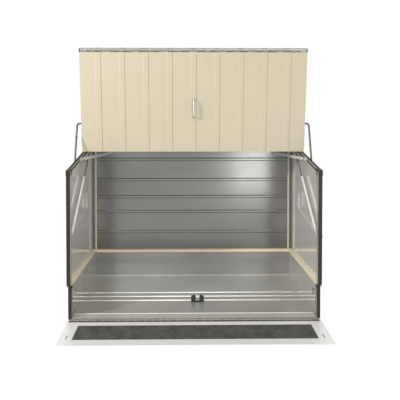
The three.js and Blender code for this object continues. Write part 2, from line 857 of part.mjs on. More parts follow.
// Ramp, in its own frame: hinge axis at the origin, the ramp runs to the front, top face up
function makeRamp(store) {
  const ramp = pivotGroup(store, -rampHingeForward, rampHingeHeight, rampTilt);
  const half = rampWidth / 2;
  const tread = block(-half, half, -rampLength, -rampPlateStart, 0, plate);
  const lip = block(-half, half, -rampLength, -rampLength + plate, -rampDrop + plate, plate);
  const parts = [lip];
  slices(rampKnuckleCount, sillHalf, runningGap / 2).forEach(([x0, x1], i) => {
    if (i % 2 === 0) return;
    const inner = -rampPinRadius - plate / 2;
    parts.push(block(x0, x1, -rampPlateStart - plate, inner, 0, plate));
    parts.push(knuckle(0, 0, rampKnuckleRadius, rampPinRadius + runningGap, x0, x1));
  });
  const bore = roundX(0, 0, rampPinRadius + runningGap, -half, half);
  const slots = sides.map(([, sign]) => block(
    sign * slotSide - slotWidth / 2, sign * slotSide + slotWidth / 2,
    -slotCentre - slotLength / 2, -slotCentre + slotLength / 2,
    -rampDrop - cutOverrun, plate + cutOverrun,
  ));
  piece(ramp, 'ramp_plate', 'galvanised', cut(join(tread, ...parts), bore, ...slots));

  const matLow = plate + seatGap;
  piece(ramp, 'ramp_mat', 'rubber',
    block(-matWidth / 2, matWidth / 2, -matFront, -matBack, matLow, matLow + matThickness));

  const skinHalf = half - rampSkinInset;
  const level = -rampDrop + rampRibRelief;
  const line = [
    [-skinHalf, -seatGap],
    [-skinHalf, level],
    ...plankLine(skinHalf, level, -1, rampRibRelief, rampGrooveDepth),
    [skinHalf, level],
    [skinHalf, -seatGap],
  ];
  const skinFront = -rampLength + plate + seatGap;
  const skin = alongY(folded(line), skinFront, -rampSkinStart);
  piece(ramp, 'ramp_skin', 'cream', cut(skin, ...slots));
}

// Roof, in its own frame: rear hinge axis at the origin, the roof runs to the front, outside up
function makeRoof(store) {
  const roof = pivotGroup(store, roofAxisY, roofAxisZ, roofOpenAngle);
  const front = -roofReach - roofFrontOverhang;
  const level = roofRise + sheet;
  const line = [
    [roofHalf, level - roofSkirt],
    [roofHalf, level],
    ...plankLine(roofHalf, level, 1, roofRibHeight, roofRibHeight).reverse(),
    [-roofHalf, level],
    [-roofHalf, level - roofSkirt],
  ];
  piece(roof, 'roof_sheet', 'brown', alongY(folded(line), front, roofRearOverhang));

  const under = roofRise - seatGap;
  const frontStart = -roofReach - frontRailForward;
  const frontLine = [
    [frontStart, under],
    [frontStart + frontRailWidth, under],
    [frontStart + frontRailWidth, under - railLip],
  ];
  const railHalf = hingeHalf + hingeSideInset / 2;
  const frontParts = [];
  const rearParts = [];
  slices(hingeSlices, hingeHalf, runningGap / 2).forEach(([x0, x1], i) => {
    const middle = (x0 + x1) / 2;
    if (i % 2 === 0) {
      const low = middle - knuckleWidth / 2;
      const high = middle + knuckleWidth / 2;
      frontParts.push(block(low, high, -roofReach - hingeWeb / 2, -roofReach + hingeWeb / 2,
        hingePinRadius + plate / 2, under - sheet / 2));
      frontParts.push(knuckle(-roofReach, 0, hingeRadius, hingePinRadius + runningGap, low, high));
    } else {
      rearParts.push(block(x0, x1, -hingeWeb / 2, hingeWeb / 2,
        hingePinRadius + plate / 2, under - sheet / 2));
      rearParts.push(knuckle(0, 0, hingeRadius, hingePinRadius + runningGap, x0, x1));
    }
  });
  const frontRailHalf = roofHalf - sheet - seatGap;
  const frontRail = alongX(folded(frontLine.reverse()), -frontRailHalf, frontRailHalf);
  const frontBore = roundX(-roofReach, 0, hingePinRadius + runningGap, -railHalf, railHalf);
  piece(roof, 'roof_front_rail', 'galvanised', cut(join(frontRail, ...frontParts), frontBore));
  const pin = roundX(-roofReach, 0, hingePinRadius, -hingeHalf, hingeHalf);
  piece(roof, 'door_hinge_pin', 'bright', pin);

  const rearEnd = roofRearOverhang - plate;
  const rearLine = [
    [rearEnd, under],
    [rearEnd - rearRailWidth, under],
    [rearEnd - rearRailWidth, under - railLip],
  ];
  const rearRail = alongX(folded(rearLine), -railHalf, railHalf);
  const rearBore = roundX(0, 0, hingePinRadius + runningGap, -railHalf, railHalf);
  piece(roof, 'roof_rear_rail', 'galvanised', cut(join(rearRail, ...rearParts), rearBore));

  for (const [name, sign] of sides) {
    const eyeFace = strutSide - strutEyeWidth / 2 - runningGap;
    const x1 = sign * eyeFace;
    const x0 = sign * (eyeFace - strutPlateThickness);
    const halfWidth = strutBracketWidth / 2;
    const outline = [
      [-strutBracketReach - halfWidth, under],
      [-strutBracketReach - strutEyeRadius, -strutBracketDrop - strutEyeRadius],
      [-strutBracketReach + strutEyeRadius, -strutBracketDrop - strutEyeRadius],
      [-strutBracketReach + halfWidth, under],
    ];
    const web = alongX(outline, x0, x1);
    const foot = block(x1, sign * (eyeFace - strutBracketWidth),
      -strutBracketReach - halfWidth, -strutBracketReach + halfWidth, under - strutPlateThickness, under);
    const boss = roundX(-strutBracketReach, -strutBracketDrop, strutStudRadius + plate,
      x0 + sign * plate / 2, x0 - sign * strutStudRadius);
    piece(roof, `${name}_strut_bracket`, 'galvanised', join(web, foot, boss));
  }
}

// Door, in its own frame: roof hinge axis at the origin, hanging straight down, front to -Y
function makeDoor(store) {
  const roofFrontY = roofAxisY - roofReach * Math.cos(roofOpenAngle);
  const roofFrontZ = roofAxisZ - roofReach * Math.sin(roofOpenAngle);
  const door = pivotGroup(store, roofFrontY, roofFrontZ, doorOpenLean);
  const top = -doorTopDrop;
  const bottom = -doorTopDrop - doorHeight;
  const level = -doorFace + stripRelief;
  const line = [
    [-doorHalf, doorBack],
    [-doorHalf, level],
    ...plankLine(doorHalf, level, -1, stripRelief, grooveDepth),
    [doorHalf, level],
    [doorHalf, doorBack],
  ];
  const pinHole = roundX(-armJointForward, -armJointDrop, armRadius + runningGap,
    -doorHalf - cutOverrun, doorHalf + cutOverrun, roundSides);
  piece(door, 'door_skin', 'cream', cut(alongZ(folded(line), bottom, top), pinHole));

  const railHalf = doorHalf - sheet - seatGap;
  const railSection = (drop) => folded([
    [doorBack, -drop - doorRailHeight],
    [-doorRailFace, -drop - doorRailHeight],
    [-doorRailFace, -drop],
    [doorBack, -drop],
  ].reverse());
  const hookOuter = hingePinRadius + hookClearance + plate;
  const hookInner = hingePinRadius + hookClearance;
  const hookParts = [];
  slices(hingeSlices, hingeHalf, runningGap / 2).forEach(([x0, x1], i) => {
    if (i % 2 === 0) return;
    const middle = (x0 + x1) / 2;
    const outer = [];
    const inner = [];
    for (let step = 0; step <= bendSteps; step += 1) {
      const angle = Math.PI - (0.75 * Math.PI * step) / bendSteps;
      outer.push([hookOuter * Math.cos(angle), hookOuter * Math.sin(angle)]);
      inner.push([hookInner * Math.cos(angle), hookInner * Math.sin(angle)]);
    }
    const outline = [[-hookOuter, -topRailDrop - plate / 2], ...outer, ...inner.reverse(),
      [-hookInner, -topRailDrop - plate / 2]];
    hookParts.push(alongX(outline, middle - hookWidth / 2, middle + hookWidth / 2));
  });
  const topRail = alongX(railSection(topRailDrop), -railHalf, railHalf);
  piece(door, 'door_top_rail', 'galvanised', join(topRail, ...hookParts));
  piece(door, 'door_bottom_rail', 'galvanised',
    alongX(railSection(bottomRailDrop), -railHalf, railHalf));

  for (const [name, sign] of sides) {
    const face = sign * (doorHalf - sheet - seatGap);
    const socket = block(face, face - sign * socketThickness,
      -armJointForward - socketDepth / 2, -armJointForward + socketDepth / 2,
      -armJointDrop - socketHeight / 2, -armJointDrop + socketHeight / 2);
    piece(door, `${name}_arm_socket`, 'galvanised', cut(socket, pinHole));
  }

  const faceY = -doorFace - seatGap;
  const handleLow = -handleTop - handleLength;
  const outY = faceY - handleStandOff + handleRadius;
  const footY = faceY - handleFootHeight / 2;
  const grip = bentRod([
    at(handleSide, footY, -handleTop - handleFootRadius),
    at(handleSide, faceY - handleKnee, -handleTop - handleFootRadius),
    at(handleSide, outY, -handleTop - handleFootRadius - handleSlant),
    at(handleSide, outY, handleLow + handleFootRadius),
    at(handleSide, footY, handleLow + handleFootRadius),
  ], handleBend, handleRadius, roundSides);
  const feet = [-handleTop - handleFootRadius, handleLow + handleFootRadius].map((z) => (
    alongY(circle(handleSide, z, handleFootRadius, roundSides), faceY - handleFootHeight, faceY)
  ));
  piece(door, 'door_handle', 'bright', join(grip, ...feet));
  return { door, roofFrontY, roofFrontZ };
}

// Arms outside the walls, in their own frame: lower pivot at the origin, running up
function makeArms(store, doorPlace) {
  const cos = Math.cos(doorOpenLean);
  const sin = Math.sin(doorOpenLean);
  const jointY = doorPlace.roofFrontY - armJointForward * cos + armJointDrop * sin;
  const jointZ = doorPlace.roofFrontZ - armJointForward * sin - armJointDrop * cos;
  const runY = jointY - armPivotSetback;
  const runZ = jointZ - armPivotHeight;
  const length = Math.hypot(runY, runZ);
  const arms = pivotGroup(store, armPivotSetback, armPivotHeight, Math.atan2(runZ, runY) - Math.PI / 2);
  for (const [name, sign] of sides) {
    const eye = alongX(circle(0, 0, armEyeRadius, roundSides),
      sign * (armSide - armEyeWidth / 2), sign * (armSide + armEyeWidth / 2),
      [circle(0, 0, armPinRadius + runningGap, smallSides)]);
    const tube = bentRod([
      at(sign * armSide, 0, armTubeStart),
      at(sign * armSide, 0, length),
      at(sign * (doorHalf - armPinPast), 0, length),
    ], armBend, armRadius, roundSides);
    piece(arms, `${name}_arm`, 'galvanised', join(eye, tube));
  }
}

// Gas struts, in their own frame: lower stud at the origin, running up
function makeStruts(store) {
  const cos = Math.cos(roofOpenAngle);
  const sin = Math.sin(roofOpenAngle);
  const endY = roofAxisY - strutBracketReach * cos + strutBracketDrop * sin;
  const endZ = roofAxisZ - strutBracketReach * sin - strutBracketDrop * cos;
  const runY = endY - strutPivotSetback;
  const runZ = endZ - strutPivotHeight;
  const length = Math.hypot(runY, runZ);
  const strut = pivotGroup(store, strutPivotSetback, strutPivotHeight,
    Math.atan2(runZ, runY) - Math.PI / 2);
  for (const [name, sign] of sides) {
    const x = sign * strutSide;
    const x0 = x - strutEyeWidth / 2;
    const x1 = x + strutEyeWidth / 2;
    const lowerEye = alongX(circle(0, 0, strutEyeRadius, roundSides), x0, x1,
      [circle(0, 0, strutStudRadius + runningGap, smallSides)]);
    const neck = alongZ(circle(x, 0, strutRodRadius + plate), strutEyeRadius - plate,
      strutBarrelStart + plate);
    const barrel = alongZ(circle(x, 0, strutBarrelRadius, roundSides), strutBarrelStart, strutBarrelEnd);
    const bore = alongZ(circle(x, 0, strutRodRadius + runningGap), strutBarrelEnd - strutBoreDepth,
      strutBarrelEnd + cutOverrun);
    piece(strut, `${name}_strut_barrel`, 'bright', cut(join(lowerEye, neck, barrel), bore));

    const upperEye = alongX(circle(0, length, strutEyeRadius, roundSides), x0, x1);
    const rod = alongZ(circle(x, 0, strutRodRadius), strutBarrelEnd - strutRodOverlap, length);
    piece(strut, `${name}_strut_rod`, 'dark', join(upperEye, rod));
  }
}

const group = new THREE.Group();
const store = new THREE.Group();
store.position.y = -storeDepth / 2;
group.add(store);
makeBase(store);
makeSill(store);
makeAnchor(store);
makeLowerTier(store);
makeUpperTier(store);
makePosts(store);
makeUpperTrims(store);
makeHeader(store);
makeBraces(store);
makeWallPivots(store);
makeHangers(store);
makeCatches(store);
makeRamp(store);
makeRoof(store);
const doorPlace = makeDoor(store);
makeArms(store, doorPlace);
makeStruts(store);
group.updateMatrixWorld(true);

export default group;
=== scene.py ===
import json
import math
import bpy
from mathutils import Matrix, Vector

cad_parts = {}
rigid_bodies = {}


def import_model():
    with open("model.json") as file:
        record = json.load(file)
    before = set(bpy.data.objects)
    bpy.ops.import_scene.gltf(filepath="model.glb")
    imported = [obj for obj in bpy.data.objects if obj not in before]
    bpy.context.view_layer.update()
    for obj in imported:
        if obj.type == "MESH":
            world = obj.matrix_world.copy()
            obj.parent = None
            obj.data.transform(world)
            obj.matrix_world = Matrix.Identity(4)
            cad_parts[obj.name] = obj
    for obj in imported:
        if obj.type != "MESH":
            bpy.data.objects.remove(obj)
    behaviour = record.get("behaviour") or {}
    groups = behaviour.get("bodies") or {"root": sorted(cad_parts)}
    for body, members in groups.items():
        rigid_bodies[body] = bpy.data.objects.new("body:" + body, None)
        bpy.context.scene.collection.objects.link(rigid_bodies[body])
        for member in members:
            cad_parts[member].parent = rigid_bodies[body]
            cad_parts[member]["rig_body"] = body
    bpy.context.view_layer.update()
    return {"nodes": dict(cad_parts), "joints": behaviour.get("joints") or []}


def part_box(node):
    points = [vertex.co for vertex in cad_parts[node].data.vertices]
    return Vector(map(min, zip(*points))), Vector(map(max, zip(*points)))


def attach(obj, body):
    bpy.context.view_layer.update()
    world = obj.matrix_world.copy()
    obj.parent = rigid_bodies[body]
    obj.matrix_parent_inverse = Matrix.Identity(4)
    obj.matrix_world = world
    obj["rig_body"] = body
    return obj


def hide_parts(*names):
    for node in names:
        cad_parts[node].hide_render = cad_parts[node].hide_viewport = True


bl_info = {
    "name": "Bicycle Locker Dressing",
    "version": (1, 0, 0),
    "blender": (4, 5, 0),
    "location": "3D View > Sidebar > Locker",
    "description": "Finished sheets, tubes, fittings and studio light for a steel bicycle locker",
    "category": "Object",
}

from collections import namedtuple
from functools import cache

import bmesh
import bpy
import numpy as np
from bpy.props import FloatProperty, FloatVectorProperty, IntProperty, PointerProperty
from mathutils import Vector

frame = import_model()

# Main sizes of the steel store, in millimetres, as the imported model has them
MM = 0.001
STORE_WIDTH, STORE_DEPTH = 1955.0, 890.0
EAVE = 1158.0
PITCH = math.tan(math.radians(12.64))
TIER, TIER_STEP = 281.0, 12.0
SHEET, SEAT, TRIM_FIT = 1.0, 0.3, 0.5
SIDES = (("left", -1.0), ("right", 1.0))

# Side walls and the rails on the lower tier
OUTER_HALF = STORE_WIDTH / 2
LOWER_HALF = OUTER_HALF - TIER_STEP
WALL_OUT, LOW_OUT = OUTER_HALF - SHEET - TRIM_FIT, LOWER_HALF - SHEET - TRIM_FIT
WALL_IN, LOW_IN = WALL_OUT - SHEET, LOW_OUT - SHEET
WALL_FRONT, WALL_REAR = SHEET + TRIM_FIT, STORE_DEPTH - 2 * SHEET
WALL_BOTTOM, WALL_LAP = 3.0, 19.0
RAIL_HEIGHT, RAIL_INSET, RAIL_BEND = 24.0, 29.5, 3.0
RAIL_TOP = TIER + SEAT
RAIL_LOW = RAIL_TOP + SHEET - RAIL_HEIGHT
RAIL_INNER = OUTER_HALF - RAIL_INSET

# Rear wall with its pressed ribs, posts and header
REAR_FACE = WALL_REAR - SHEET
RIB_SHARES = (0.15, 0.34, 0.48, 0.641, 0.832)
RIB_WIDTH, RIB_DEPTH, RIB_SLOPE, RIB_BEND = 31.0, 6.0, 6.0, 2.5
POST_WIDTH, POST_DEPTH = 36.0, 34.0
POST_BEAD_WIDTH, POST_BEAD_DEPTH, POST_BEAD_LAP = 14.0, 3.0, 0.2
POST_BEAD_END, POST_BEAD_ROUND = 2.0, 1.3
HEADER_LIP = 26.0

# Trims, their caps and the beads beside them
TRIM_WIDTH, TRIM_DEPTH = 31.0, 30.0
LOW_TRIM_WIDTH, LOW_TRIM_DEPTH, LOW_TRIM_BOTTOM = 27.0, 26.0, 28.0
TOP_TRIM_WIDTH, TOP_TRIM_DROP = 22.0, 30.0
CAP_GAP, CAP_ROUND = 1.6, 1.1
BEAD_FRONT, BEAD_BACK, BEAD_ROUND = 1.0, 10.0, 1.2
BEAD_FOOT, BEAD_HEAD = 3.0, 6.0
LOW_BEAD_WIDTH, LOW_BEAD_FRONT, LOW_BEAD_BACK, LOW_BEAD_ROUND = 3.2, 2.0, 9.0, 1.1
LOW_BEAD_FOOT, LOW_BEAD_HEAD = 2.0, 60.0
SLOPE_BEAD_SHARE, SLOPE_BEAD_TOP, SLOPE_BEAD_BOTTOM = 0.35, 2.0, 14.0
SLOPE_BEAD_START, SLOPE_BEAD_END = 50.0, REAR_FACE - 110.0

# Floor tray, sill and anchor
RIDGE_FIRST, RIDGE_PITCH, RIDGE_COUNT = 341.0, 77.0, 3
RIDGE_WIDTH, RIDGE_TOP, RIDGE_HEIGHT = 30.0, 14.0, 8.0
TRAY_BEND = 4.0
SILL_BEAD_DEPTH, SILL_BEAD_HEIGHT, SILL_BEAD_RADIUS, SILL_BEAD_INSET = 71.0, 32.2, 2.6, 30.0
SILL_HINGE_LINE = -8.0
ANCHOR_ROUND = 1.0

# Ramp, with its slots, hinge and mat. A block is its low corner, its high corner and its rounding
RAMP_LENGTH, RAMP_FALL = 317.0, 23.0
RAMP_HINGE_LINE, SKIN_ROUND = -8.0, 0.4
SLOT_SIDE, SLOT_CENTRE, SLOT_LENGTH, SLOT_WIDTH = 906.5, 228.0, 40.0, 7.5
LINER_RINGS = ((1.4, 2.2), (0.9, 2.9), (-0.3, 2.9), (-0.3, 0.5), (1.4, 2.2))
HINGE_START, HINGE_STOP, HINGE_PITCH = -946.0, 900.0, 63.0
# Rolls in lightened hinge colour, painted light; dark leaves below, a painted shadow line
HINGE_ROLL = ((0, -23, 2.3), (61, -9, 6), 1.7)
HINGE_LEAF = ((0, -42, 2.3), (61.4, -24, 3.6), 0.6)
MAT_BLOCK = ((-862, -256, 2.3), (862, -89, 4.8), 1.0)

# Roof and door
ROOF_OPEN, DOOR_LEAN = math.radians(-57.44), math.radians(5.7)
ROOF_REACH, ROOF_NOSE, ROOF_TAIL = 912.1, 22.0, 6.0
ROOF_LEVEL, ROOF_SKIRT, ROOF_RELIEF = 18.0, 26.0, 3.0
KNUCKLE_REACH = 12.0
DOOR_HALF, DOOR_TOP, DOOR_BOTTOM = 972.0, -9.0, -865.0
DOOR_LEVEL, DOOR_FOLD, DOOR_MARGIN = -23.0, 3.0, 10.0
TOP_RAIL_DROP = 24.0
PLANK_PITCH, FIRST_GROOVE, GROOVES = 203.6, -790.0, 9
STRIP_WIDTH, STRIP_SLOPE, STRIP_RELIEF = 46.0, 4.0, 2.0
GROOVE_WIDTH, GROOVE_DEPTH = 7.0, 5.1
HEM_FRONT, HEM_BACK, HEM_FALL = -16.6, 2.6, 11.0
HEM_SIDE_GAP, HEM_TOP_GAP = 3.0, 0.6

# Door handle, arms and gas struts
HANDLE_TOP, HANDLE_BOTTOM, HANDLE_REACH = -414.0, -561.0, 44.0
HANDLE_RADIUS, HANDLE_BEND, HANDLE_KNEE, HANDLE_SLANT = 8.5, 12.0, 16.0, 30.0
ROOT, ROD_FIT = 1.0, 0.2
ARM_SIDE, ARM_RADIUS, ARM_BEND = 1009.0, 8.0, 26.0
ARM_START, ARM_END, PIVOT_ROUND = 11.0, 12.0, 0.6
CLIP_SHARE = 0.78
STRUT_SIDE, STRUT_EYE_RADIUS = 949.0, 9.0
ROD_START, ROD_RADIUS = 440.0, 4.0
FERRULE_RADIUS, FERRULE_START, FERRULE_CONE, FERRULE_END = 6.2, 30.0, 2.0, 8.0

# Wall hangers, corner braces, ramp catches and lock staple
HANGER_PATH = ((203, 668), (612, 738), (612, 903), (482, 903), (482, 780))
HANGER_PADS = ((210, 671.5), (612, 820.5))
HANGER_STAND, HANGER_RADIUS, HANGER_BEND = 6.0, 4.0, 38.0
PAD_HALF, PAD_DEPTH, PAD_ROUND = 7.0, 5.0, 1.5
BRACE_ROUND, CATCH_LINE = 0.7, -22.0
STAPLE_DEPTH, STAPLE_HEIGHT, STAPLE_SPAN, STAPLE_REACH = 48.0, 635.0, 24.0, 19.0
STAPLE_RADIUS, STAPLE_BEND = 3.0, 9.0
KEEPER_WIDTH, KEEPER_HEIGHT, KEEPER_DEPTH, KEEPER_ROUND = 30.0, 56.0, 2.0, 0.8

# Rivets and bolts
RAIL_RIVET_FIRST, RAIL_RIVET_LAST, RAIL_RIVET_RISE = 80.0, 840.0, 12.0
REAR_RIVET_HALF = 900.0
POST_RIVET_FIRST, POST_RIVET_LAST, POST_RIVET_PITCH, POST_RIVET_INSET = 330.0, 1300.0, 160.0, 17.0
DOOR_RIVET_ROWS = (("top", -15.0), ("bottom", -858.0))
DOOR_RIVET_RADIUS, DOOR_RIVET_MARGIN = 3.4, 30.0
RIVET_LIP, RIVET_DOME, RIVET_RINGS = 0.12, 0.42, 4
BOLT_INSET, BOLT_DEPTH, BOLT_RISE = 18.0, 352.0, 14.0
BOLT_LEAN = (0.95, 0.3)
BOLT_SHARP = math.radians(25)

# Profiles of turned pieces, as (radius, height)
HANDLE_FOOT = ((0, 0), (11, 0), (11, 2.2), (10.4, 3.6), (9.2, 4.6), (8.6, 6), (0, 6))
ARM_EYE = ((6.3, -4.2), (14.2, -4.2), (15, -3.4), (15, 3.4), (14.2, 4.2), (6.3, 4.2),
           (6.3, -4.2))
ARM_COLLAR = ((8.1, -7), (8.9, -7), (9.4, -6), (9.4, 6), (8.9, 7), (8.1, 7), (8.1, -7))
STRUT_BARREL = ((0, 22), (6, 22), (6.4, 26), (8.6, 27), (9.6, 29), (10, 32), (10, 548),
                (9.2, 550), (9.2, 552), (10, 554), (9.8, 557), (8.4, 559.4), (5.2, 560),
                (4.4, 559.4), (4.4, 540), (0, 540))
STRUT_NECK = ((0, 6), (5.4, 6), (5.4, 22.5), (0, 22.5))
STRUT_EYE = ((4.3, -6), (8.2, -6), (9, -5.2), (9, 5.2), (8.2, 6), (4.3, 6), (4.3, -6))
ROD_END = ((0, -6), (8.2, -6), (9, -5.2), (9, 5.2), (8.2, 6), (0, 6))
BOLT_WASHER = ((0, 0), (7.5, 0), (7.5, 1.1), (0, 1.1))
BOLT_HEAD = ((0, 1.1), (5.76, 1.1), (6, 1.6), (6, 3.3), (5.16, 4.2), (0, 4.2))

# Numbers of faces round turned pieces, rods and their bends
TURNED_SIDES, EYE_SIDES, SMALL_SIDES, ROD_SIDES = 32, 36, 24, 20
RIVET_SIDES, BOLT_SIDES = 14, 6
ROD_STEPS, ARM_STEPS, STAPLE_STEPS = 10, 12, 8

# How meshes are cleaned and their edges rounded
DOUBLES, CAD_DOUBLES = 1e-6, 2e-6
FLAT, SHARP = math.radians(0.6), math.radians(40)
EDGE_ROUND, EDGE_STEPS, NORMAL_WEIGHT = 0.35, 2, 90

# Directions along, across and up for a profile that is carried along an axis
AXES = {"X": np.eye(3), "Y": np.eye(3)[[1, 0, 2]], "Z": np.eye(3)[[2, 0, 1]]}

Box = namedtuple("Box", "left front bottom right rear top")


def joint(name):
    """The frame's record of a joint."""
    return next(record for record in frame["joints"] if record["name"] == name)


def joint_place(name):
    """Where a joint's axis crosses the middle plane, as (y, z) in millimetres."""
    place = joint(name)["pos_m"]
    return place[1] / MM, place[2] / MM


def turned_places():
    """The local frames of the store's bodies: origin y, origin z and the turn about X."""
    roof, arm, end = (joint_place(name) for name in ("roof_lift", "arm_swing", "door_tilt"))
    strut, ramp = joint_place("strut_tilt"), joint_place("ramp_fold")
    door = (roof[0] - ROOF_REACH * math.cos(ROOF_OPEN), roof[1] - ROOF_REACH * math.sin(ROOF_OPEN))
    stroke = joint("strut_stroke")["axis"]
    quarter = math.pi / 2
    arm_turn = math.atan2(end[1] - arm[1], end[0] - arm[0]) - quarter
    strut_turn = math.atan2(-stroke[2], -stroke[1]) - quarter
    return {
        "store": (-STORE_DEPTH / 2, 0.0, 0.0),
        "roof": (*roof, ROOF_OPEN),
        "door": (*door, DOOR_LEAN),
        "arms": (*arm, arm_turn),
        "strut_barrels": (*strut, strut_turn),
        "strut_rods": (*strut, strut_turn),
        "ramp": (*ramp, math.asin(RAMP_FALL / RAMP_LENGTH)),
    }


PLACES = turned_places()


def to_row(points, body):
    """Turns a body's own millimetres about X by its rest angle, and moves them into the shared
    frame in metres."""
    y0, z0, angle = PLACES[body]
    x, y, z = np.asarray(points, float).T
    return np.stack([x, y0 + y * math.cos(angle) - z * math.sin(angle),
                     z0 + y * math.sin(angle) + z * math.cos(angle)], axis=1) * MM


def to_local(points, body):
    """The reverse of to_row: from the shared frame in metres to a body's own millimetres."""
    y0, z0, angle = PLACES[body]
    x, y, z = (np.asarray(points, float) / MM).T
    y, z = y - y0, z - z0
    return np.stack([x, y * math.cos(angle) + z * math.sin(angle),
                     z * math.cos(angle) - y * math.sin(angle)], axis=1)


def node_box(node):
    """A CAD node's box in the store's own millimetres, where Y counts from the front plane."""
    low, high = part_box(node)
    middle = STORE_DEPTH / 2
    return Box(low.x / MM, low.y / MM + middle, low.z / MM,
               high.x / MM, high.y / MM + middle, high.z / MM)


def wall_top(y):
    """Height of the side wall's sloping edge at depth y: the eave plus y times the roof's slope."""
    return EAVE + y * PITCH


# Properties that a user would change
class LockerSizes(bpy.types.PropertyGroup):
    """Sizes of the small forms and how finely they are made"""
    bend_radius: FloatProperty(
        name="Bend radius", description="Inner radius of the folded sheets", default=1.6 * MM,
        min=0.2 * MM, max=5 * MM, unit="LENGTH")
    bead_width: FloatProperty(
        name="Bead width", description="Width of the cream bead beside the trims",
        default=4.5 * MM, min=1 * MM, max=10 * MM, unit="LENGTH")
    rivet_radius: FloatProperty(
        name="Rivet radius", description="Radius of the domed rivet heads", default=4.2 * MM,
        min=1 * MM, max=8 * MM, unit="LENGTH")
    rivet_spacing: FloatProperty(
        name="Rivet spacing", description="Distance between rivets along a rail",
        default=180 * MM, min=40 * MM, max=500 * MM, unit="LENGTH")
    tube_sides: IntProperty(
        name="Tube sides", description="Faces round each tube", default=28, min=8, max=64)
    bend_steps: IntProperty(
        name="Bend steps", description="Faces round each folded corner", default=4, min=1, max=12)
    grain_size: FloatProperty(
        name="Grain size", description="Width of one cell of the coat's leather grain",
        default=1.5 * MM, min=0.5 * MM, max=5 * MM, unit="LENGTH")


class LockerColours(bpy.types.PropertyGroup):
    """Colours of the coats, metals and mat"""
    cream: FloatVectorProperty(
        name="Cream coat", description="Colour of the cream coat", subtype="COLOR",
        default=(0.700, 0.612, 0.448), min=0.0, max=1.0)
    brown: FloatVectorProperty(
        name="Brown coat", description="Colour of the dark trims", subtype="COLOR",
        default=(0.031, 0.025, 0.019), min=0.0, max=1.0)
    bead: FloatVectorProperty(
        name="Bead", description="Colour of the narrow beads beside the trims", subtype="COLOR",
        default=(0.47, 0.43, 0.36), min=0.0, max=1.0)
    zinc: FloatVectorProperty(
        name="Galvanised steel", description="Colour of the bare zinc", subtype="COLOR",
        default=(0.50, 0.495, 0.47), min=0.0, max=1.0)
    lining: FloatVectorProperty(
        name="Wall lining", description="Colour of the side walls' inner faces",
        subtype="COLOR", default=(0.88, 0.86, 0.80), min=0.0, max=1.0)
    tread: FloatVectorProperty(
        name="Ramp plate", description="Colour of the ramp's bright plate", subtype="COLOR",
        default=(0.93, 0.92, 0.90), min=0.0, max=1.0)
    hinge: FloatVectorProperty(
        name="Hinge", description="Colour of the passivated hinge knuckles", subtype="COLOR",
        default=(0.27, 0.255, 0.215), min=0.0, max=1.0)
    rust: FloatVectorProperty(
        name="Rust", description="Colour of the rusted slot liners", subtype="COLOR",
        default=(0.12, 0.05, 0.03), min=0.0, max=1.0)
    chrome: FloatVectorProperty(
        name="Bright steel", description="Colour of the plated parts", subtype="COLOR",
        default=(0.62, 0.62, 0.60), min=0.0, max=1.0)
    dark: FloatVectorProperty(
        name="Dark steel", description="Colour of the blackened parts", subtype="COLOR",
        default=(0.07, 0.07, 0.068), min=0.0, max=1.0)
    mat: FloatVectorProperty(
        name="Grip mat", description="Colour of the ramp's mat", subtype="COLOR",
        default=(0.042, 0.041, 0.038), min=0.0, max=1.0)


def sizes():
    """The scene's size properties."""
    return bpy.context.scene.locker_sizes


def colours():
    """The scene's colour properties."""
    return bpy.context.scene.locker_colours


# Profiles and paths
def rounded(corners, radius, steps):
    """Replaces each inner corner of an open line by a circular arc. The arc starts at a tangent
    length of radius divided by the tangent of half the corner's angle, but never past the given
    share of the shorter side. A corner that is nearly straight stays."""
    side_share, straight = 0.45, math.radians(89.5)
    corners = np.asarray(corners, float)
    points = [corners[0]]
    for before, corner, after in zip(corners, corners[1:], corners[2:]):
        back, ahead = before - corner, after - corner
        back_length, ahead_length = np.linalg.norm(back), np.linalg.norm(ahead)
        back, ahead = back / back_length, ahead / ahead_length
        half = math.acos(float(np.clip(back @ ahead, -1, 1))) / 2
        if half > straight:
            points.append(corner)
            continue
        tangent = min(radius / math.tan(half), side_share * min(back_length, ahead_length))
        turn = (math.pi - 2 * half) * (np.linspace(0, 1, steps + 1) - 0.5)
        middle = (back + ahead) / np.linalg.norm(back + ahead)
        side = (ahead - back) / np.linalg.norm(ahead - back)
        reach = tangent * math.tan(half)
        centre = corner + middle * reach / math.sin(half)
        points.extend(centre - reach * (np.cos(turn)[:, None] * middle
                                        - np.sin(turn)[:, None] * side))
    points.append(corners[-1])
    return np.array(points)


def mirrored(line, sign):
    """A line taken the other way round where the sign is positive, so that on both sides of the
    store the sheet's thickness falls on the same side of its fold."""
    return line[::-1] if sign > 0 else line


def sheet_outline(line, thickness):
    """The closed outline of a folded sheet: the line, and its copy moved to the left of its
    direction along the mitre of the two neighbouring edges by the sheet's thickness."""
    line = np.asarray(line, float)
    step = np.diff(line, axis=0)
    step /= np.linalg.norm(step, axis=1)[:, None]
    normal = np.stack([-step[:, 1], step[:, 0]], axis=1)
    before = np.vstack([normal[:1], normal])
    after = np.vstack([normal, normal[-1:]])
    mitre = before + after
    mitre /= np.linalg.norm(mitre, axis=1)[:, None]
    reach = thickness / np.sum(mitre * before, axis=1)
    return np.vstack([line, (line + mitre * reach[:, None])[::-1]])


def circle_outline(radius, sides):
    """Points at equal angles on a circle."""
    angle = 2 * math.pi * np.arange(sides) / sides
    return radius * np.stack([np.cos(angle), np.sin(angle)], axis=1)


def ring_faces(count, rings, closed=True):
    """Quads between neighbouring rings of a grid with the given number of points in each ring."""
    column = np.arange(count if closed else count - 1)
    following = (column + 1) % count
    row = (np.arange(rings - 1) * count)[:, None]
    quads = np.stack([row + column, row + following, row + count + following,
                      row + count + column], axis=-1)
    return quads.reshape(-1, 4)


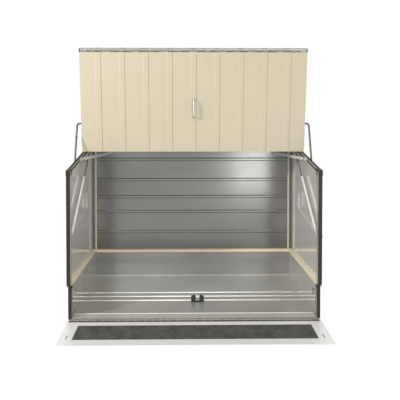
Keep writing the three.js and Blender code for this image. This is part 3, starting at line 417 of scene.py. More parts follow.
def swept_sheet(line, axis, start, end, rise):
    """A folded sheet as a profile carried along an axis. The rise lifts the far end in Z, which
    shears the profile along a slope. Returns points, faces and one side number for each face:
    0 on the drawn line and the cut edges, 1 on the other face."""
    outline = sheet_outline(line, SHEET)
    along, across, up = AXES[axis]
    flat = outline[:, :1] * across + outline[:, 1:] * up
    points = np.vstack([flat + along * start, flat + along * end + (0, 0, rise)])
    count = len(outline)
    half = count // 2
    walls = ring_faces(count, 2)
    side = np.zeros(len(walls), int)
    side[half:count - 1] = 1
    index = np.arange(half - 1)
    cap = np.stack([index, index + 1, count - 2 - index, count - 1 - index], axis=1)
    faces = np.vstack([walls, cap, cap + count])
    return points, faces, np.concatenate([side, np.zeros(2 * len(cap), int)])


def tube_shape(path, radius, sides, binormal):
    """A round tube along a path that lies in one plane, which the binormal stands square to: at
    each point of the path, a circle across the mean direction of its two neighbours. At each end
    the circle's radius falls as the root of one less the square of the way to the tip."""
    cap_share = 0.35
    way = np.array([1.0, 0.86, 0.55, 0.2])
    path, binormal = np.asarray(path, float), np.asarray(binormal, float)
    tangent = np.gradient(path, axis=0)
    tangent[0], tangent[-1] = path[1] - path[0], path[-1] - path[-2]
    tangent /= np.linalg.norm(tangent, axis=1)[:, None]
    normal = np.cross(binormal, tangent)
    normal /= np.linalg.norm(normal, axis=1)[:, None]
    cap = cap_share * radius
    first, last = path[0] + tangent[0] * cap, path[-1] - tangent[-1] * cap
    centres = np.vstack([first - tangent[0] * cap * way[:, None], first, path[1:-1], last,
                         last + tangent[-1] * cap * way[::-1, None]])
    narrow = np.sqrt(1 - way ** 2)
    scale = np.concatenate([narrow, np.ones(len(path)), narrow[::-1]])
    ends = len(way)
    normals = np.vstack([np.repeat(normal[:1], ends, 0), normal, np.repeat(normal[-1:], ends, 0)])
    circle = circle_outline(radius, sides)
    offsets = circle[None, :, :1] * normals[:, None] + circle[None, :, 1:] * binormal
    rings = centres[:, None] + offsets * scale[:, None, None]
    return rings.reshape(-1, 3), ring_faces(sides, len(centres))


def turned_shape(profile, sides):
    """A profile of (radius, height) turned about the local Z axis: at each height, a circle of
    that radius. Where the radius is zero, the points fall together and are merged later."""
    profile = np.asarray(profile, float)
    flat = profile[:, None, :1] * circle_outline(1.0, sides)[None]
    height = np.broadcast_to(profile[:, None, 1:], flat.shape[:2] + (1,))
    points = np.concatenate([flat, height], axis=-1).reshape(-1, 3)
    return points, ring_faces(sides, len(profile))


def stamped(shape, centres, directions):
    """Copies of one small shape, each with its local Z turned to its direction: two axes across
    the direction come from its cross products with the world axis furthest from it."""
    points, faces = shape
    centres = np.atleast_2d(np.asarray(centres, float))
    directions = np.broadcast_to(np.asarray(directions, float), centres.shape)
    directions = directions / np.linalg.norm(directions, axis=1)[:, None]
    helper = np.eye(3)[np.argmin(np.abs(directions), axis=1)]
    across = np.cross(helper, directions)
    across /= np.linalg.norm(across, axis=1)[:, None]
    up = np.cross(directions, across)
    basis = np.stack([across, up, directions], axis=1)
    world = centres[:, None] + np.einsum("pk,nkj->npj", points, basis)
    offset = len(points) * np.arange(len(centres))
    return world.reshape(-1, 3), (faces[None] + offset[:, None, None]).reshape(-1, 4)


def merged(*shapes):
    """Several shapes, each of points and faces, put into one."""
    starts = np.cumsum([0] + [len(points) for points, _ in shapes])
    return (np.vstack([points for points, _ in shapes]),
            np.vstack([faces + start for (_, faces), start in zip(shapes, starts)]))


def rounded_block(low, high, radius):
    """A block with rounded edges: each point of a cube's grid is held inside the block shrunk by
    the radius, and pushed out from there by the radius along the direction to the cube's point."""
    low, high = np.minimum(low, high).astype(float), np.maximum(low, high).astype(float)
    steps = np.array([-1.0, -0.55, 0.0, 0.0, 0.55, 1.0])
    count = len(steps)
    far = np.arange(count) >= count // 2
    u, v = np.meshgrid(np.arange(count), np.arange(count), indexing="ij")
    shrunk = (low + radius, high - radius)
    points, faces = [], []
    for axis in range(3):
        first, second = (k for k in range(3) if k != axis)
        for end, sign in ((0, -1.0), (1, 1.0)):
            direction, inner = np.zeros((count, count, 3)), np.zeros((count, count, 3))
            direction[..., axis], inner[..., axis] = sign, shrunk[end][axis]
            for other, grid in ((first, u), (second, v)):
                direction[..., other] = steps[grid]
                inner[..., other] = np.where(far[grid], shrunk[1][other], shrunk[0][other])
            direction /= np.linalg.norm(direction, axis=-1)[..., None]
            faces.append(ring_faces(count, count, closed=False) + len(points) * count * count)
            points.append((inner + radius * direction).reshape(-1, 3))
    return np.vstack(points), np.vstack(faces)


# Pieces
def linked(name, data):
    """A new object with its data, in the scene."""
    made = bpy.data.objects.new(name, data)
    bpy.context.scene.collection.objects.link(made)
    return made


def finished(name, mesh, finishes, body, replaces):
    """A mesh as an object with its finishes, riding on its body."""
    piece = linked(name, mesh)
    for finish in finishes:
        mesh.materials.append(material(finish))
    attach(piece, body)
    if replaces:
        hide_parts(*replaces)
    return piece


def even_normals(piece):
    """Normals weighted by face area, so that wide flats stay flat beside their small bends."""
    modifier = piece.modifiers.new("Even normals", "WEIGHTED_NORMAL")
    modifier.keep_sharp = True
    modifier.weight = NORMAL_WEIGHT


def make_piece(name, shape, finishes, body, side=None, replaces=(), sharp=SHARP):
    """A piece from points in its body's own millimetres and faces, with one or more finishes. The
    side numbers say which finish each face takes."""
    points, faces = shape
    mesh = bpy.data.meshes.new(name)
    mesh.from_pydata(to_row(points, body).tolist(), [], [list(face) for face in faces])
    if side is not None:
        mesh.polygons.foreach_set("material_index", np.asarray(side, np.int32))
    edit = bmesh.new()
    edit.from_mesh(mesh)
    bmesh.ops.remove_doubles(edit, verts=edit.verts, dist=DOUBLES)
    bmesh.ops.recalc_face_normals(edit, faces=edit.faces)
    edit.to_mesh(mesh)
    edit.free()
    mesh.shade_smooth()
    mesh.set_sharp_from_angle(angle=sharp)
    finishes = (finishes,) if isinstance(finishes, str) else finishes
    piece = finished(name, mesh, finishes, body, replaces)
    even_normals(piece)
    return piece


def sheet_piece(name, line, axis, start, end, finishes, body="store", rise=0.0,
                radius=None, stands_in=True):
    """A folded sheet with rounded bends. It stands for the CAD node of the same name, unless it
    is a small piece of its own."""
    radius = sizes().bend_radius / MM if radius is None else radius
    curved = rounded(line, radius, sizes().bend_steps)
    points, faces, side = swept_sheet(curved, axis, start, end, rise)
    return make_piece(name + ("_sheet" if stands_in else ""), (points, faces), finishes, body,
                      side=None if isinstance(finishes, str) else side,
                      replaces=(name,) if stands_in else ())


def face_centres(mesh, body):
    """The middles of a mesh's faces, in its body's own millimetres."""
    centres = np.empty(3 * len(mesh.polygons))
    mesh.polygons.foreach_get("center", centres)
    return to_local(centres.reshape(-1, 3), body)


def softened(node, finish, width=EDGE_ROUND, second=None, where=None):
    """A copy of a CAD node with its doubles merged, its flat triangles joined and its edges
    rounded by a bevel. It stands for the node. A second finish goes on the faces whose centres
    pass a test in the body's own millimetres."""
    source = frame["nodes"][node]
    body = source["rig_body"]
    mesh = source.data.copy()
    mesh.materials.clear()
    edit = bmesh.new()
    edit.from_mesh(mesh)
    bmesh.ops.remove_doubles(edit, verts=edit.verts, dist=CAD_DOUBLES)
    bmesh.ops.dissolve_limit(edit, angle_limit=FLAT, verts=edit.verts, edges=edit.edges)
    edit.to_mesh(mesh)
    edit.free()
    mesh.shade_smooth()
    mesh.set_sharp_from_angle(angle=SHARP)
    finishes = (finish, second) if second else (finish,)
    piece = finished(node + "_soft", mesh, finishes, body, (node,))
    if second:
        chosen = where(face_centres(mesh, body))
        mesh.polygons.foreach_set("material_index", chosen.astype(np.int32))
    bevel = piece.modifiers.new("Rounded edges", "BEVEL")
    bevel.width = width * MM
    bevel.segments = EDGE_STEPS
    bevel.limit_method = "ANGLE"
    bevel.angle_limit = SHARP
    bevel.use_clamp_overlap = True
    even_normals(piece)


def plank_line(half, level, out, relief, depth):
    """A raised strip and a groove for each plank, as a line from left to right."""
    line = []
    for i in range(GROOVES):
        groove = FIRST_GROOVE + i * PLANK_PITCH
        rise = groove - STRIP_WIDTH
        if rise - STRIP_SLOPE <= -half or groove + GROOVE_WIDTH >= half:
            continue
        raised = level + out * relief
        line += [(rise - STRIP_SLOPE, level), (rise, raised), (groove - GROOVE_WIDTH / 2, raised),
                 (groove, level + out * (relief - depth)), (groove + GROOVE_WIDTH / 2, level)]
    return line


# Node groups that several finishes share
class Graph:
    """Adds nodes to one tree and links them, in rows from left to right."""

    row_length, step_right, step_down = 6, 180, 220

    def __init__(self, tree):
        self.tree = tree
        self.count = 0

    def put(self, value, socket):
        """Links another node's socket to this one, or writes a plain value into it."""
        if isinstance(value, bpy.types.NodeSocket):
            self.tree.links.new(value, socket)
        else:
            socket.default_value = value

    def node(self, kind, settings=None, **inputs):
        """A node with its settings and inputs. An input is named, with _ for a space, or is i and
        its number."""
        new = self.tree.nodes.new("ShaderNode" + kind)
        row, column = divmod(self.count, self.row_length)
        new.location = (self.step_right * column, -self.step_down * row)
        self.count += 1
        for key, value in (settings or {}).items():
            setattr(new, key, value)
        for key, value in inputs.items():
            numbered = key[0] == "i" and key[1:].isdigit()
            self.put(value, new.inputs[int(key[1:]) if numbered else key.replace("_", " ")])
        return new

    def ramp(self, value, low, high, to_low=0.0, to_high=1.0):
        """A value mapped from one span to another, and held inside it."""
        spread = self.node("MapRange", Value=value, From_Min=low, From_Max=high,
                           To_Min=to_low, To_Max=to_high)
        return spread.outputs["Result"]

    def blend(self, share, first, second):
        """One colour mixed into another."""
        mix = self.node("Mix", {"data_type": "RGBA"}, i0=share, i6=first, i7=second)
        return mix.outputs[2]

    def maths(self, operation, *values):
        """Values through one sum."""
        inputs = {f"i{index}": value for index, value in enumerate(values)}
        return self.node("Math", {"operation": operation}, **inputs).outputs[0]

    def held(self, value):
        """A value held between 0 and 1."""
        return self.node("Clamp", Value=value).outputs[0]

    def noise(self, vector, scale, detail=3.0, rough=0.55):
        """Soft noise of a given scale."""
        made = self.node("TexNoise", Vector=vector, Scale=scale, Detail=detail, Roughness=rough)
        return made.outputs["Fac"]

    def cells(self, vector, scale, feature="F1"):
        """Cells round scattered points, as the distance to the point or to the cell's edge."""
        made = self.node("TexVoronoi", {"feature": feature}, Vector=vector, Scale=scale)
        return made.outputs["Distance"]

    def stretched(self, vector, scale, turn=(0.0, 0.0, 0.0)):
        """Coordinates turned and multiplied by a scale for each axis."""
        return self.node("Mapping", Vector=vector, Rotation=turn, Scale=scale).outputs["Vector"]

    def scaled(self, vector, factor):
        """A vector or colour multiplied by one factor."""
        return self.node("VectorMath", {"operation": "SCALE"}, i0=vector,
                         Scale=factor).outputs[0]


def new_group(name, inputs, outputs):
    """An empty shader node group with named sockets: its graph, its inputs and its outputs."""
    tree = bpy.data.node_groups.new(name, "ShaderNodeTree")
    for label, kind, default in inputs:
        socket = tree.interface.new_socket(label, in_out="INPUT", socket_type="NodeSocket" + kind)
        if default is not None:
            socket.default_value = default
    for label, kind in outputs:
        tree.interface.new_socket(label, in_out="OUTPUT", socket_type="NodeSocket" + kind)
    start, end = tree.nodes.new("NodeGroupInput"), tree.nodes.new("NodeGroupOutput")
    return Graph(tree), start.outputs, end.inputs


def coat_grain_group():
    """Leather grain of a coated sheet: creases between small cells, darkened as painted shade, a
    finer noise on the cells, a slow drift of the colour over the sheet and faint upright roller
    marks."""
    graph, given, out = new_group(
        "Coat grain",
        [("Vector", "Vector", None), ("Colour", "Color", (0.7, 0.6, 0.45, 1)),
         ("Crease Colour", "Color", (0.5, 0.4, 0.3, 1)), ("Cells", "Float", 650.0),
         ("Drift", "Float", 0.06)],
        [("Colour", "Color"), ("Roughness", "Float"), ("Height", "Float")])
    vector = given["Vector"]
    warp = graph.node("TexNoise", Vector=vector, Scale=420.0, Detail=1.0)
    bent = graph.scaled(warp.outputs["Color"], 0.0012)
    moved = graph.node("VectorMath", {"operation": "ADD"}, i0=vector, i1=bent).outputs[0]
    crease = graph.ramp(graph.cells(moved, given["Cells"], "DISTANCE_TO_EDGE"), 0.0, 0.22)
    fine = graph.noise(vector, 2600.0, 2.0)
    slow = graph.noise(vector, 1.7, 3.0)
    marks = graph.noise(graph.stretched(vector, (26.0, 26.0, 1.1)), 1.0, 2.0)
    both = graph.maths("MULTIPLY_ADD", slow, 0.7, graph.maths("MULTIPLY", marks, 0.3))
    drift = graph.maths("MULTIPLY_ADD", graph.maths("SUBTRACT", both, 0.5), given["Drift"], 1.0)
    # Painted shade: the colour darkens towards the crease colour at the cells' edges
    crease_shaded_colour = graph.blend(graph.ramp(crease, 0.0, 1.0, 0.35, 0.0), given["Colour"],
                      given["Crease Colour"])
    rough = graph.ramp(graph.maths("ADD", crease, fine), 0.3, 1.6, 0.52, 0.38)
    height = graph.maths("MULTIPLY_ADD", crease, 0.75, graph.maths("MULTIPLY", fine, 0.25))
    graph.put(graph.scaled(crease_shaded_colour, drift), out["Colour"])
    graph.put(rough, out["Roughness"])
    graph.put(height, out["Height"])
    return graph.tree


def rolled_steel_group():
    """Bare rolled steel: broad soft streaks along X, faint zinc flowers, water marks and the slow
    waves of a thin sheet."""
    graph, given, out = new_group(
        "Rolled steel",
        [("Vector", "Vector", None), ("Bright", "Color", (0.6, 0.6, 0.6, 1)),
         ("Dull", "Color", (0.4, 0.4, 0.4, 1)), ("Streaks", "Float", 0.5),
         ("Flowers", "Float", 0.4), ("Smooth", "Float", 0.18), ("Rough", "Float", 0.36)],
        [("Colour", "Color"), ("Roughness", "Float"), ("Waves", "Float")])
    vector = given["Vector"]
    streak = graph.noise(graph.stretched(vector, (1.2, 26.0, 26.0)), 1.0, 2.0, 0.5)
    flower = graph.node("TexVoronoi", Vector=vector, Scale=85.0)
    tone = graph.node("SeparateColor", i0=flower.outputs["Color"]).outputs[0]
    water = graph.ramp(graph.noise(vector, 3.1, 4.0, 0.55), 0.3, 0.75, 0.0, 0.6)
    waves = graph.noise(graph.stretched(vector, (1.1, 2.0, 2.0)), 1.3, 1.0)
    mark = graph.maths("MULTIPLY", graph.ramp(streak, 0.25, 0.75), given["Streaks"])
    marked = graph.maths("MULTIPLY_ADD", tone, given["Flowers"], mark)
    share = graph.held(graph.maths("MULTIPLY", graph.maths("ADD", marked, water), 0.6))
    span = graph.maths("SUBTRACT", given["Rough"], given["Smooth"])
    graph.put(graph.blend(share, given["Bright"], given["Dull"]), out["Colour"])
    graph.put(graph.maths("MULTIPLY_ADD", share, span, given["Smooth"]), out["Roughness"])
    graph.put(waves, out["Waves"])
    return graph.tree


def scuff_group():
    """Wear: thin scratches from stretched noise at two angles, and dust that gathers low down,
    where the height above the ground is small."""
    graph, given, out = new_group(
        "Scuffs and dust",
        [("Vector", "Vector", None), ("Scratches", "Float", 0.4), ("Dust", "Float", 0.3),
         ("Dust Height", "Float", 0.12)],
        [("Scratch", "Float"), ("Dust", "Float")])
    vector = given["Vector"]
    first = graph.noise(graph.stretched(vector, (7.0, 240.0, 240.0)), 1.0, 2.0)
    second = graph.noise(graph.stretched(vector, (260.0, 260.0, 9.0), (0.05, 0.25, 0.0)), 1.0, 2.0)
    patch = graph.ramp(graph.noise(vector, 6.0, 2.0), 0.45, 0.7)
    lines = graph.maths("MAXIMUM", graph.ramp(first, 0.66, 0.72), graph.ramp(second, 0.67, 0.73))
    scratch = graph.maths("MULTIPLY", graph.maths("MULTIPLY", lines, patch), given["Scratches"])
    height = graph.node("SeparateXYZ", Vector=vector).outputs["Z"]
    low = graph.ramp(height, 0.0, given["Dust Height"], 1.0, 0.0)
    cloud = graph.ramp(graph.noise(vector, 14.0, 5.0, 0.65), 0.3, 0.75)
    dust = graph.maths("MULTIPLY", graph.maths("MULTIPLY", low, cloud), given["Dust"])
    graph.put(scratch, out["Scratch"])
    graph.put(dust, out["Dust"])
    return graph.tree


def grit_group():
    """Grip grit: rounded grains of two sizes and a few paler, worn grains."""
    graph, given, out = new_group(
        "Grip grit",
        [("Vector", "Vector", None), ("Colour", "Color", (0.06, 0.06, 0.06, 1)),
         ("Worn", "Color", (0.2, 0.2, 0.19, 1)), ("Grains", "Float", 330.0)],
        [("Colour", "Color"), ("Roughness", "Float"), ("Height", "Float")])
    vector = given["Vector"]
    coarse = graph.node("TexVoronoi", Vector=vector, Scale=given["Grains"])
    dome = graph.ramp(coarse.outputs["Distance"], 0.0, 0.7, 1.0, 0.0)
    tone = graph.node("SeparateColor", i0=coarse.outputs["Color"]).outputs[1]
    fine = graph.ramp(graph.cells(vector, 900.0), 0.0, 0.7, 1.0, 0.0)
    worn = graph.ramp(tone, 0.55, 1.0, 0.0, 0.75)
    slow = graph.ramp(graph.noise(vector, 5.0, 4.0), 0.3, 0.75, 0.0, 0.14)
    share = graph.held(graph.maths("MULTIPLY_ADD", worn, dome, slow))
    graph.put(graph.blend(share, given["Colour"], given["Worn"]), out["Colour"])
    graph.put(graph.ramp(dome, 0.0, 1.0, 0.95, 0.72), out["Roughness"])
    graph.put(graph.maths("MULTIPLY_ADD", fine, 0.35, dome), out["Height"])
    return graph.tree


def smudge_group():
    """Handling marks on plated steel: soft blotches and fine polishing lines."""
    graph, given, out = new_group(
        "Smudges",
        [("Vector", "Vector", None), ("Bright", "Color", (0.8, 0.8, 0.8, 1)),
         ("Dull", "Color", (0.5, 0.5, 0.5, 1)), ("Smooth", "Float", 0.08),
         ("Rough", "Float", 0.26)],
        [("Colour", "Color"), ("Roughness", "Float"), ("Height", "Float")])
    vector = given["Vector"]
    blotch = graph.ramp(graph.noise(vector, 22.0, 4.0, 0.6), 0.35, 0.75)
    lines = graph.noise(vector, 700.0, 2.0)
    share = graph.held(graph.maths("MULTIPLY_ADD", lines, 0.25,
                                   graph.maths("MULTIPLY", blotch, 0.6)))
    span = graph.maths("SUBTRACT", given["Rough"], given["Smooth"])
    graph.put(graph.blend(share, given["Bright"], given["Dull"]), out["Colour"])
    graph.put(graph.maths("MULTIPLY_ADD", share, span, given["Smooth"]), out["Roughness"])
    graph.put(lines, out["Height"])
    return graph.tree


GROUPS = {
    "Coat grain": coat_grain_group,
    "Rolled steel": rolled_steel_group,
    "Scuffs and dust": scuff_group,
    "Grip grit": grit_group,
    "Smudges": smudge_group,
}


# Finishes: the colours of dust and of scratches in the dark coat, and heights in metres
COAT_DUST, STEEL_DUST = (0.42, 0.38, 0.31, 1), (0.33, 0.31, 0.27, 1)
MAT_DUST = (0.2, 0.19, 0.17, 1)
BROWN_SCRATCH = (0.12, 0.1, 0.08, 1)
GRAIN_HEIGHT, POLISH_HEIGHT, GRIT_HEIGHT = 0.2 * MM, 0.004 * MM, 0.6 * MM


def place_group(graph, name, **inputs):
    """A node group placed in a material with its own values, and built the first time."""
    tree = bpy.data.node_groups.get(name) or GROUPS[name]()
    return graph.node("Group", {"node_tree": tree}, **inputs).outputs


def shade(colour, factor=1.0):
    """A colour made lighter or darker, with full opacity."""
    return tuple(min(1.0, channel * factor) for channel in colour) + (1.0,)


def cleared(owner):
    """The emptied node tree of a material or a world, as a graph."""
    owner.use_nodes = True
    owner.node_tree.nodes.clear()
    return Graph(owner.node_tree)


def bare_material(name):
    """A material with its shader and object coordinates."""
    made = bpy.data.materials.new(name)
    graph = cleared(made)
    shader = graph.node("BsdfPrincipled")
    graph.node("OutputMaterial", Surface=shader.outputs[0])
    return made, graph, shader, graph.node("TexCoord").outputs["Object"]


def wire(graph, shader, colour, roughness, height, distance, strength):
    """The shader's colour and roughness, and its normal from a height in metres."""
    bump = graph.node("Bump", Height=height, Distance=distance, Strength=strength)
    graph.put(colour, shader.inputs["Base Color"])
    graph.put(roughness, shader.inputs["Roughness"])
    graph.put(bump.outputs["Normal"], shader.inputs["Normal"])


def coated(name, colour, crease, dust=0.25, scratch_colour=None, drift=0.06, specular=0.5):
    """Coated sheet: leather grain with painted shade in its creases, scuffs and dust near the
    ground.
    """
    made, graph, shader, vector = bare_material(name)
    grain = place_group(graph, "Coat grain", Vector=vector, Colour=shade(colour),
                        Crease_Colour=shade(colour, crease), Cells=1 / sizes().grain_size,
                        Drift=drift)
    wear = place_group(graph, "Scuffs and dust", Vector=vector, Scratches=0.35, Dust=dust,
                       Dust_Height=0.22)
    marked = graph.blend(wear["Scratch"], grain["Colour"], scratch_colour or shade(colour, 1.35))
    dusty = graph.blend(wear["Dust"], marked, COAT_DUST)
    rough = graph.maths("MAXIMUM", grain["Roughness"],
                        graph.maths("MULTIPLY", wear["Dust"], 0.9))
    shader.inputs["Specular IOR Level"].default_value = specular
    wire(graph, shader, dusty, rough, grain["Height"], GRAIN_HEIGHT, 0.55)
    return made


def rolled(name, colour, streaks=0.2, flowers=0.0, smooth=0.22, rough=0.36, waves=0.0015,
           dust=0.0, metallic=0.9, scratches=0.0, dull=0.8):
    """Bare or lacquered rolled steel."""
    made, graph, shader, vector = bare_material(name)
    steel = place_group(graph, "Rolled steel", Vector=vector, Bright=shade(colour),
                        Dull=shade(colour, dull), Streaks=streaks, Flowers=flowers,
                        Smooth=smooth, Rough=rough)
    wear = place_group(graph, "Scuffs and dust", Vector=vector, Scratches=scratches, Dust=dust,
                       Dust_Height=0.1)
    scratched = graph.blend(wear["Scratch"], steel["Colour"], shade(colour, 1.25))
    dusty = graph.blend(wear["Dust"], scratched, STEEL_DUST)
    worn = graph.maths("MAXIMUM", steel["Roughness"], graph.maths("MULTIPLY", wear["Dust"], 0.8))
    shader.inputs["Metallic"].default_value = metallic
    wire(graph, shader, dusty, worn, steel["Waves"], waves, 1.0)
    return made


def plated(name, colour, smooth, rough, metallic=1.0):
    """Plated or blackened steel with smudges."""
    made, graph, shader, vector = bare_material(name)
    marks = place_group(graph, "Smudges", Vector=vector, Bright=shade(colour),
                        Dull=shade(colour, 0.7), Smooth=smooth, Rough=rough)
    wear = place_group(graph, "Scuffs and dust", Vector=vector, Scratches=0.12, Dust=0.0,
                       Dust_Height=0.1)
    scratched = graph.blend(wear["Scratch"], marks["Colour"], shade(colour, 1.3))
    shader.inputs["Metallic"].default_value = metallic
    wire(graph, shader, scratched, marks["Roughness"], marks["Height"], POLISH_HEIGHT, 0.3)
    return made


def grit(name, colour):
    """The ramp's grip mat."""
    made, graph, shader, vector = bare_material(name)
    grains = place_group(graph, "Grip grit", Vector=vector, Colour=shade(colour),
                         Worn=shade(colour, 2.4))
    wear = place_group(graph, "Scuffs and dust", Vector=vector, Scratches=0.15, Dust=0.5,
                       Dust_Height=0.12)
    dusty = graph.blend(wear["Dust"], grains["Colour"], MAT_DUST)
    wire(graph, shader, dusty, grains["Roughness"], grains["Height"], GRIT_HEIGHT, 0.8)
    return made


# Each finish's maker, material name, colour, how much lighter or darker it is, and own values
FINISHES = {
    "cream": (coated, "Cream leather-grained coat", "cream", 1, dict(crease=0.86)),
    # Next: the cream coat darkened, painted shade in the door's grooves
    "groove": (coated, "Coat in the grooves", "cream", 0.88, dict(crease=0.8)),
    # Next: the cream lightened, painted light on rails, post beads, door hem, catch tongues and
    # rivets
    "cream_rail": (coated, "Cream painted rail", "cream", 1.36, dict(crease=0.95, dust=0.1)),
    "bead": (coated, "Greyed cream bead", "bead", 1, dict(crease=0.9, dust=0.1)),
    "brown": (coated, "Dark brown coat", "brown", 1, dict(
        crease=0.7, dust=0.05, scratch_colour=BROWN_SCRATCH, drift=0.2, specular=0.3)),
    "cap": (coated, "Moulded brown cap", "brown", 1, dict(
        crease=0.85, dust=0.0, scratch_colour=BROWN_SCRATCH, drift=0.1, specular=0.25)),
    "slope": (coated, "Shaded brown coat", "brown", 1, dict(
        crease=0.7, dust=0.0, scratch_colour=BROWN_SCRATCH, drift=0.2, specular=0.1)),
    "skin": (coated, "Coat of the ramp's skin", "cream", 1, dict(crease=0.86, dust=0.03)),
    "zinc": (rolled, "Galvanised steel", "zinc", 1, dict(dust=0.1)),
    "low_wall": (rolled, "Zinc lower rear wall", "zinc", 0.85, dict(
        smooth=0.2, rough=0.32, metallic=0.7)),
    # Next: zinc darkened, painted shade on the rear wall and the roof's underside
    "wall": (rolled, "Zinc rear wall", "zinc", 0.46, dict(
        smooth=0.2, rough=0.32, waves=0.003, metallic=0.8)),
    # Next: zinc darkened to a fifth, painted shade on the rear header
    "header": (rolled, "Dull zinc header", "zinc", 0.2, dict(
        smooth=0.35, rough=0.5, metallic=0.6)),
    "post": (rolled, "Dull zinc post", "zinc", 0.5, dict(smooth=0.35, rough=0.5, metallic=0.6)),
    "lining": (rolled, "Lacquered wall lining", "lining", 1, dict(
        streaks=0.1, flowers=0.04, smooth=0.1, rough=0.17, waves=0.002, metallic=0.5, dull=0.92)),
    # Next: the lining darkened, painted shade on the lower side walls
    "low_lining": (rolled, "Zinc lower side wall", "lining", 0.78, dict(
        smooth=0.12, rough=0.2, metallic=0.6, dull=0.9)),
    "floor": (rolled, "Zinc floor", "zinc", 1.2, dict(
        smooth=0.18, rough=0.3, waves=0.002, metallic=0.55)),
    "tread": (rolled, "Bright ramp plate", "tread", 1, dict(
        streaks=0.3, flowers=0.05, smooth=0.3, rough=0.42, metallic=0.2, scratches=0.1,
        dull=0.9)),
    "sill": (rolled, "Bright sill", "zinc", 1.4, dict(smooth=0.18, rough=0.3, metallic=0.4)),
    # Next two: zinc lightened, painted light on the top rails; darkened, painted shade on knuckles
    "edge": (rolled, "Roof edge", "zinc", 1.8, dict(smooth=0.38, rough=0.48, metallic=0.7)),
    "knuckle": (rolled, "Dull hinge knuckle", "zinc", 0.62, dict(
        smooth=0.4, rough=0.5, metallic=0.5)),
    "hinge": (rolled, "Passivated hinge", "hinge", 1, dict(
        streaks=0.6, flowers=0.5, smooth=0.25, rough=0.5, metallic=0.85, dull=0.45)),
    # Next: the hinge colour lightened, painted light on the hinge rolls
    "roll": (rolled, "Worn hinge roll", "hinge", 2.4, dict(
        streaks=0.5, flowers=0.6, smooth=0.2, rough=0.4, metallic=0.5, dull=0.4)),
    # Next: rust on the slot liners, which also darken the slots as painted shade
    "rust": (rolled, "Rusted liner", "rust", 1, dict(
        streaks=0.4, flowers=0.5, smooth=0.6, rough=0.8, metallic=0.1, dull=0.5)),
    "chrome": (plated, "Bright plated steel", "chrome", 1, dict(smooth=0.1, rough=0.24)),
    # Next: plated steel whitened, painted highlight on the braces, hanger rods and strut barrels
    "bright": (plated, "Bright zinc-plated bar", "chrome", 1.4, dict(
        smooth=0.25, rough=0.4, metallic=0.2)),
    # Next: bright steel darkened, painted shade on the arms, door hinge pin and strut rods
    "arm": (plated, "Grey steel tube", "chrome", 0.2, dict(
        smooth=0.36, rough=0.48, metallic=0.5)),
    "dark": (plated, "Blackened steel", "dark", 1, dict(smooth=0.25, rough=0.5, metallic=0.8)),
    "mat": (grit, "Grip mat", "mat", 1, dict()),
}


@cache
def material(finish):
    """The material of a finish, built the first time it is asked for."""
    maker, name, base, factor, values = FINISHES[finish]
    return maker(name, shade(getattr(colours(), base), factor)[:3], **values)


# Operators: one for each piece or group of like pieces
class LOCKER_OT_walls(bpy.types.Operator):
    """Side panels of both tiers: flat coated sheets with a bright lining face inside, which is
    darkened on the lower tier as painted shade
    """
    bl_idname = "locker.walls"
    bl_label = "Walls"

    def panel(self, name, inner, outer, outline, lining):
        """Two copies of an outline, one on each face of the sheet, and a strip between them."""
        outline = np.asarray(outline, float)
        count = len(outline)
        points = np.vstack([np.column_stack([np.full(count, x), outline])
                            for x in (inner, outer)])
        faces = [range(count), range(count, 2 * count), *ring_faces(count, 2)]
        make_piece(name + "_sheet", (points, faces), ("cream", lining), "store",
                   side=[1, 0] + [0] * count, replaces=(name,))

    def execute(self, context):
        front, rear = WALL_FRONT, WALL_REAR
        bottom, drop = TIER - WALL_LAP, SHEET + TRIM_FIT
        for side, sign in SIDES:
            self.panel(f"lower_{side}_panel", sign * LOW_IN, sign * LOW_OUT,
                       [(front, WALL_BOTTOM), (rear, WALL_BOTTOM), (rear, TIER), (front, TIER)],
                       "low_lining")
            self.panel(f"upper_{side}_panel", sign * WALL_IN, sign * WALL_OUT,
                       [(front, bottom), (rear, bottom), (rear, wall_top(rear) - drop),
                        (front, wall_top(front) - drop)], "lining")
        return {"FINISHED"}


